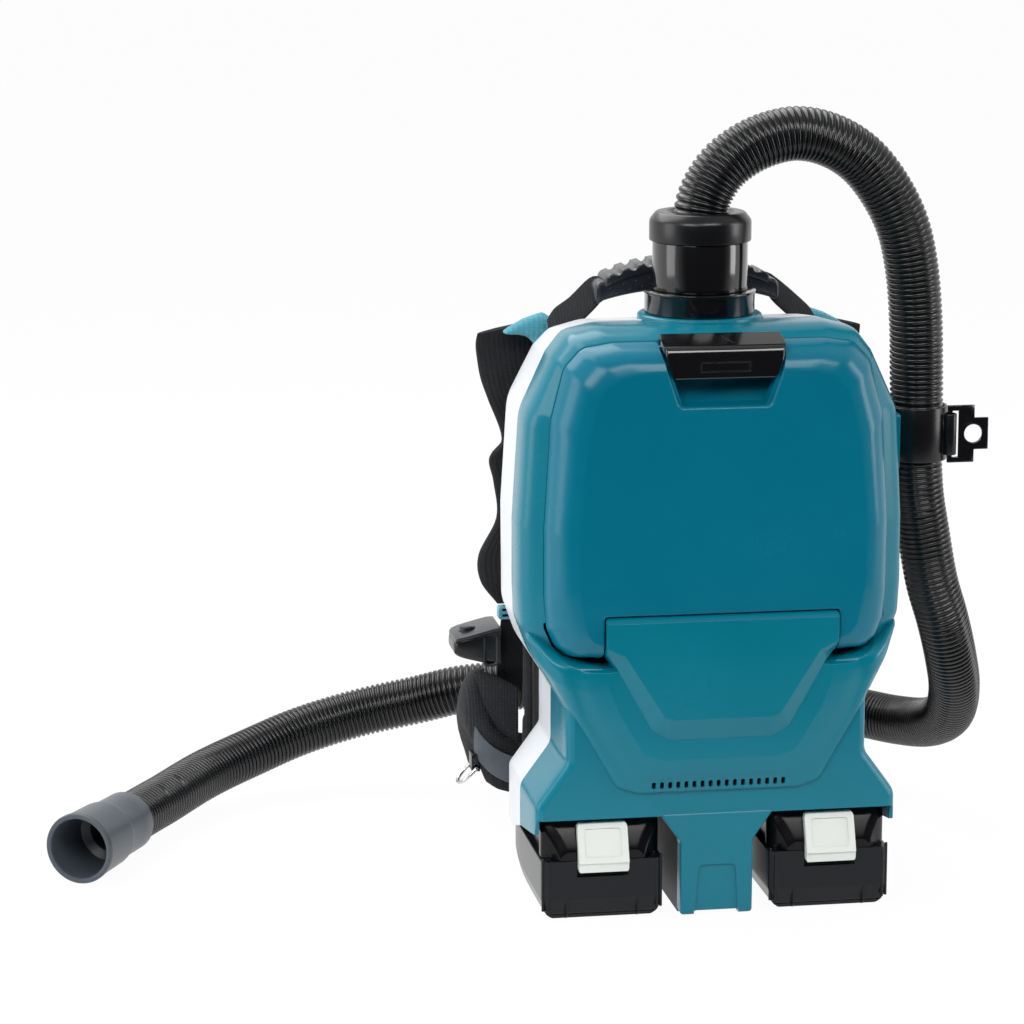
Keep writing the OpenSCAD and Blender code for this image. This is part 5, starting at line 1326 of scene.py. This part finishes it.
def pod_ring(x, h, d, grow=0.0, base=None):
    """Section at x; h is half its height, d draws its sides in, base is the depth of a rim."""
    low_z = pod_z - h if base is None else pod_z + h - base
    corner = min(4, h * 0.8) if base is None else 0.8
    outline = panel(86 + d - grow, low_z, 120 - d + grow, pod_z + h + grow)
    return [Vector((x, p.x, p.y)) for p in rounded(outline, corner, 4)]


knob_place = (-127, 103)
pod = loft("control_pod", soften([pod_ring(*level) for level in pod_levels], 1))
rim = loft("pod_rim", [pod_ring(x, h, d, 0.9, 1.4) for x, h, d in pod_levels[1:]])
trim = slab(rounded(panel(-119, 122, -109.4, 141), [3.4, 3.4, 1, 1], 4), 84.9, 90, "pod_trim")
cut(trim, slab(rounded(panel(-117.4, 123.8, -111, 145), [2.4, 2.4, 0.5, 0.5], 4), 80, 95))
for piece in (pod, rim):
    boolean(piece, rod(5.4, (*knob_place, 137.6), (*knob_place, 152)))
    finish_normals(piece, 40, merge=FINE)
for piece, material in ((pod, black_satin), (rim, grip_rubber), (trim, grip_rubber)):
    dress(piece, material, "cleaner", "control_box")
knob = lathe("control_knob", [(0, 139.4), (5, 139.4), (5, 144.6), (4.6, 145.2), (3.8, 145.5), (0, 145.3)],
             (*knob_place, 0), steps=48, closed=False)
dress(knob, grip_rubber, "button", "control_button")

# %% Hose band and its plate
dress(moulded("hose_band", "hose_holder", 0.7), black_satin, "cleaner", "hose_band")
dress(moulded("band_plate", "hanging_plate", 0.5), black_gloss, "plate", "band_plate")

# %% [markdown]
# ## Finishes of the inner parts
# What the skin hides is still seen when the cover or a battery is open, and each part gets the
# finish of the real one: fleece, card, rubber, engineering plastic, brushed steel, copper and the
# green of a circuit board.

# %% Material table
inner_finish = {
    "battery_deck": inner_grey, "terminal_blocks": black_matte, "cover_hinge_pins": steel,
    "cover_seal": rubber, "latch_pin": steel, "inlet_socket": black_matte, "bag_holder": inner_grey,
    "bag_flange": card, "filter_frame": black_matte, "filter_deck": inner_grey,
    "fan_shroud": inner_grey, "impeller": inner_grey, "motor_shaft": steel, "rotor_core": steel,
    "stator": copper, "motor_can": steel, "motor_bearings": chrome, "motor_damper": rubber,
    "motor_cradle": inner_grey, "circuit_board": green_board, "housing_screws": chrome,
    "battery_left_cells": cell_sleeve, "battery_right_cells": cell_sleeve, "d_ring": chrome}
for name, material in inner_finish.items():
    data = nodes[name].data
    data.materials.clear()
    data.materials.append(material)
print(len(inner_finish), "inner nodes dressed")

# %% [markdown]
# The dust bag is soft: it is rebuilt as one smooth skin with shallow wrinkles, always the same ones.
# The filter's pleats keep their folds and get rounded ridges.

# %% Dust bag and filter
bag = copy_of("dust_bag", "bag_skin")
modify(bag, "REMESH", mode="VOXEL", voxel_size=3 * MM)
modify(bag, "SMOOTH", factor=0.6, iterations=5)
for v in bag.data.vertices:
    wrinkle = noise.noise(v.co * 45) + 0.5 * noise.noise(v.co * 110 + Vector((3, 1, 2)))
    v.co += v.normal * (wrinkle * 1.1 - 0.9) * MM
alone(bag)
bpy.ops.object.shade_smooth()
dress(bag, fleece, "cleaner", "dust_bag")
pleats = moulded("filter_pleats", "pleats", 0.3)
dress(pleats, fleece, "cleaner", "filter_pleats")
print("bag", len(bag.data.polygons), "faces, pleats", len(pleats.data.polygons))
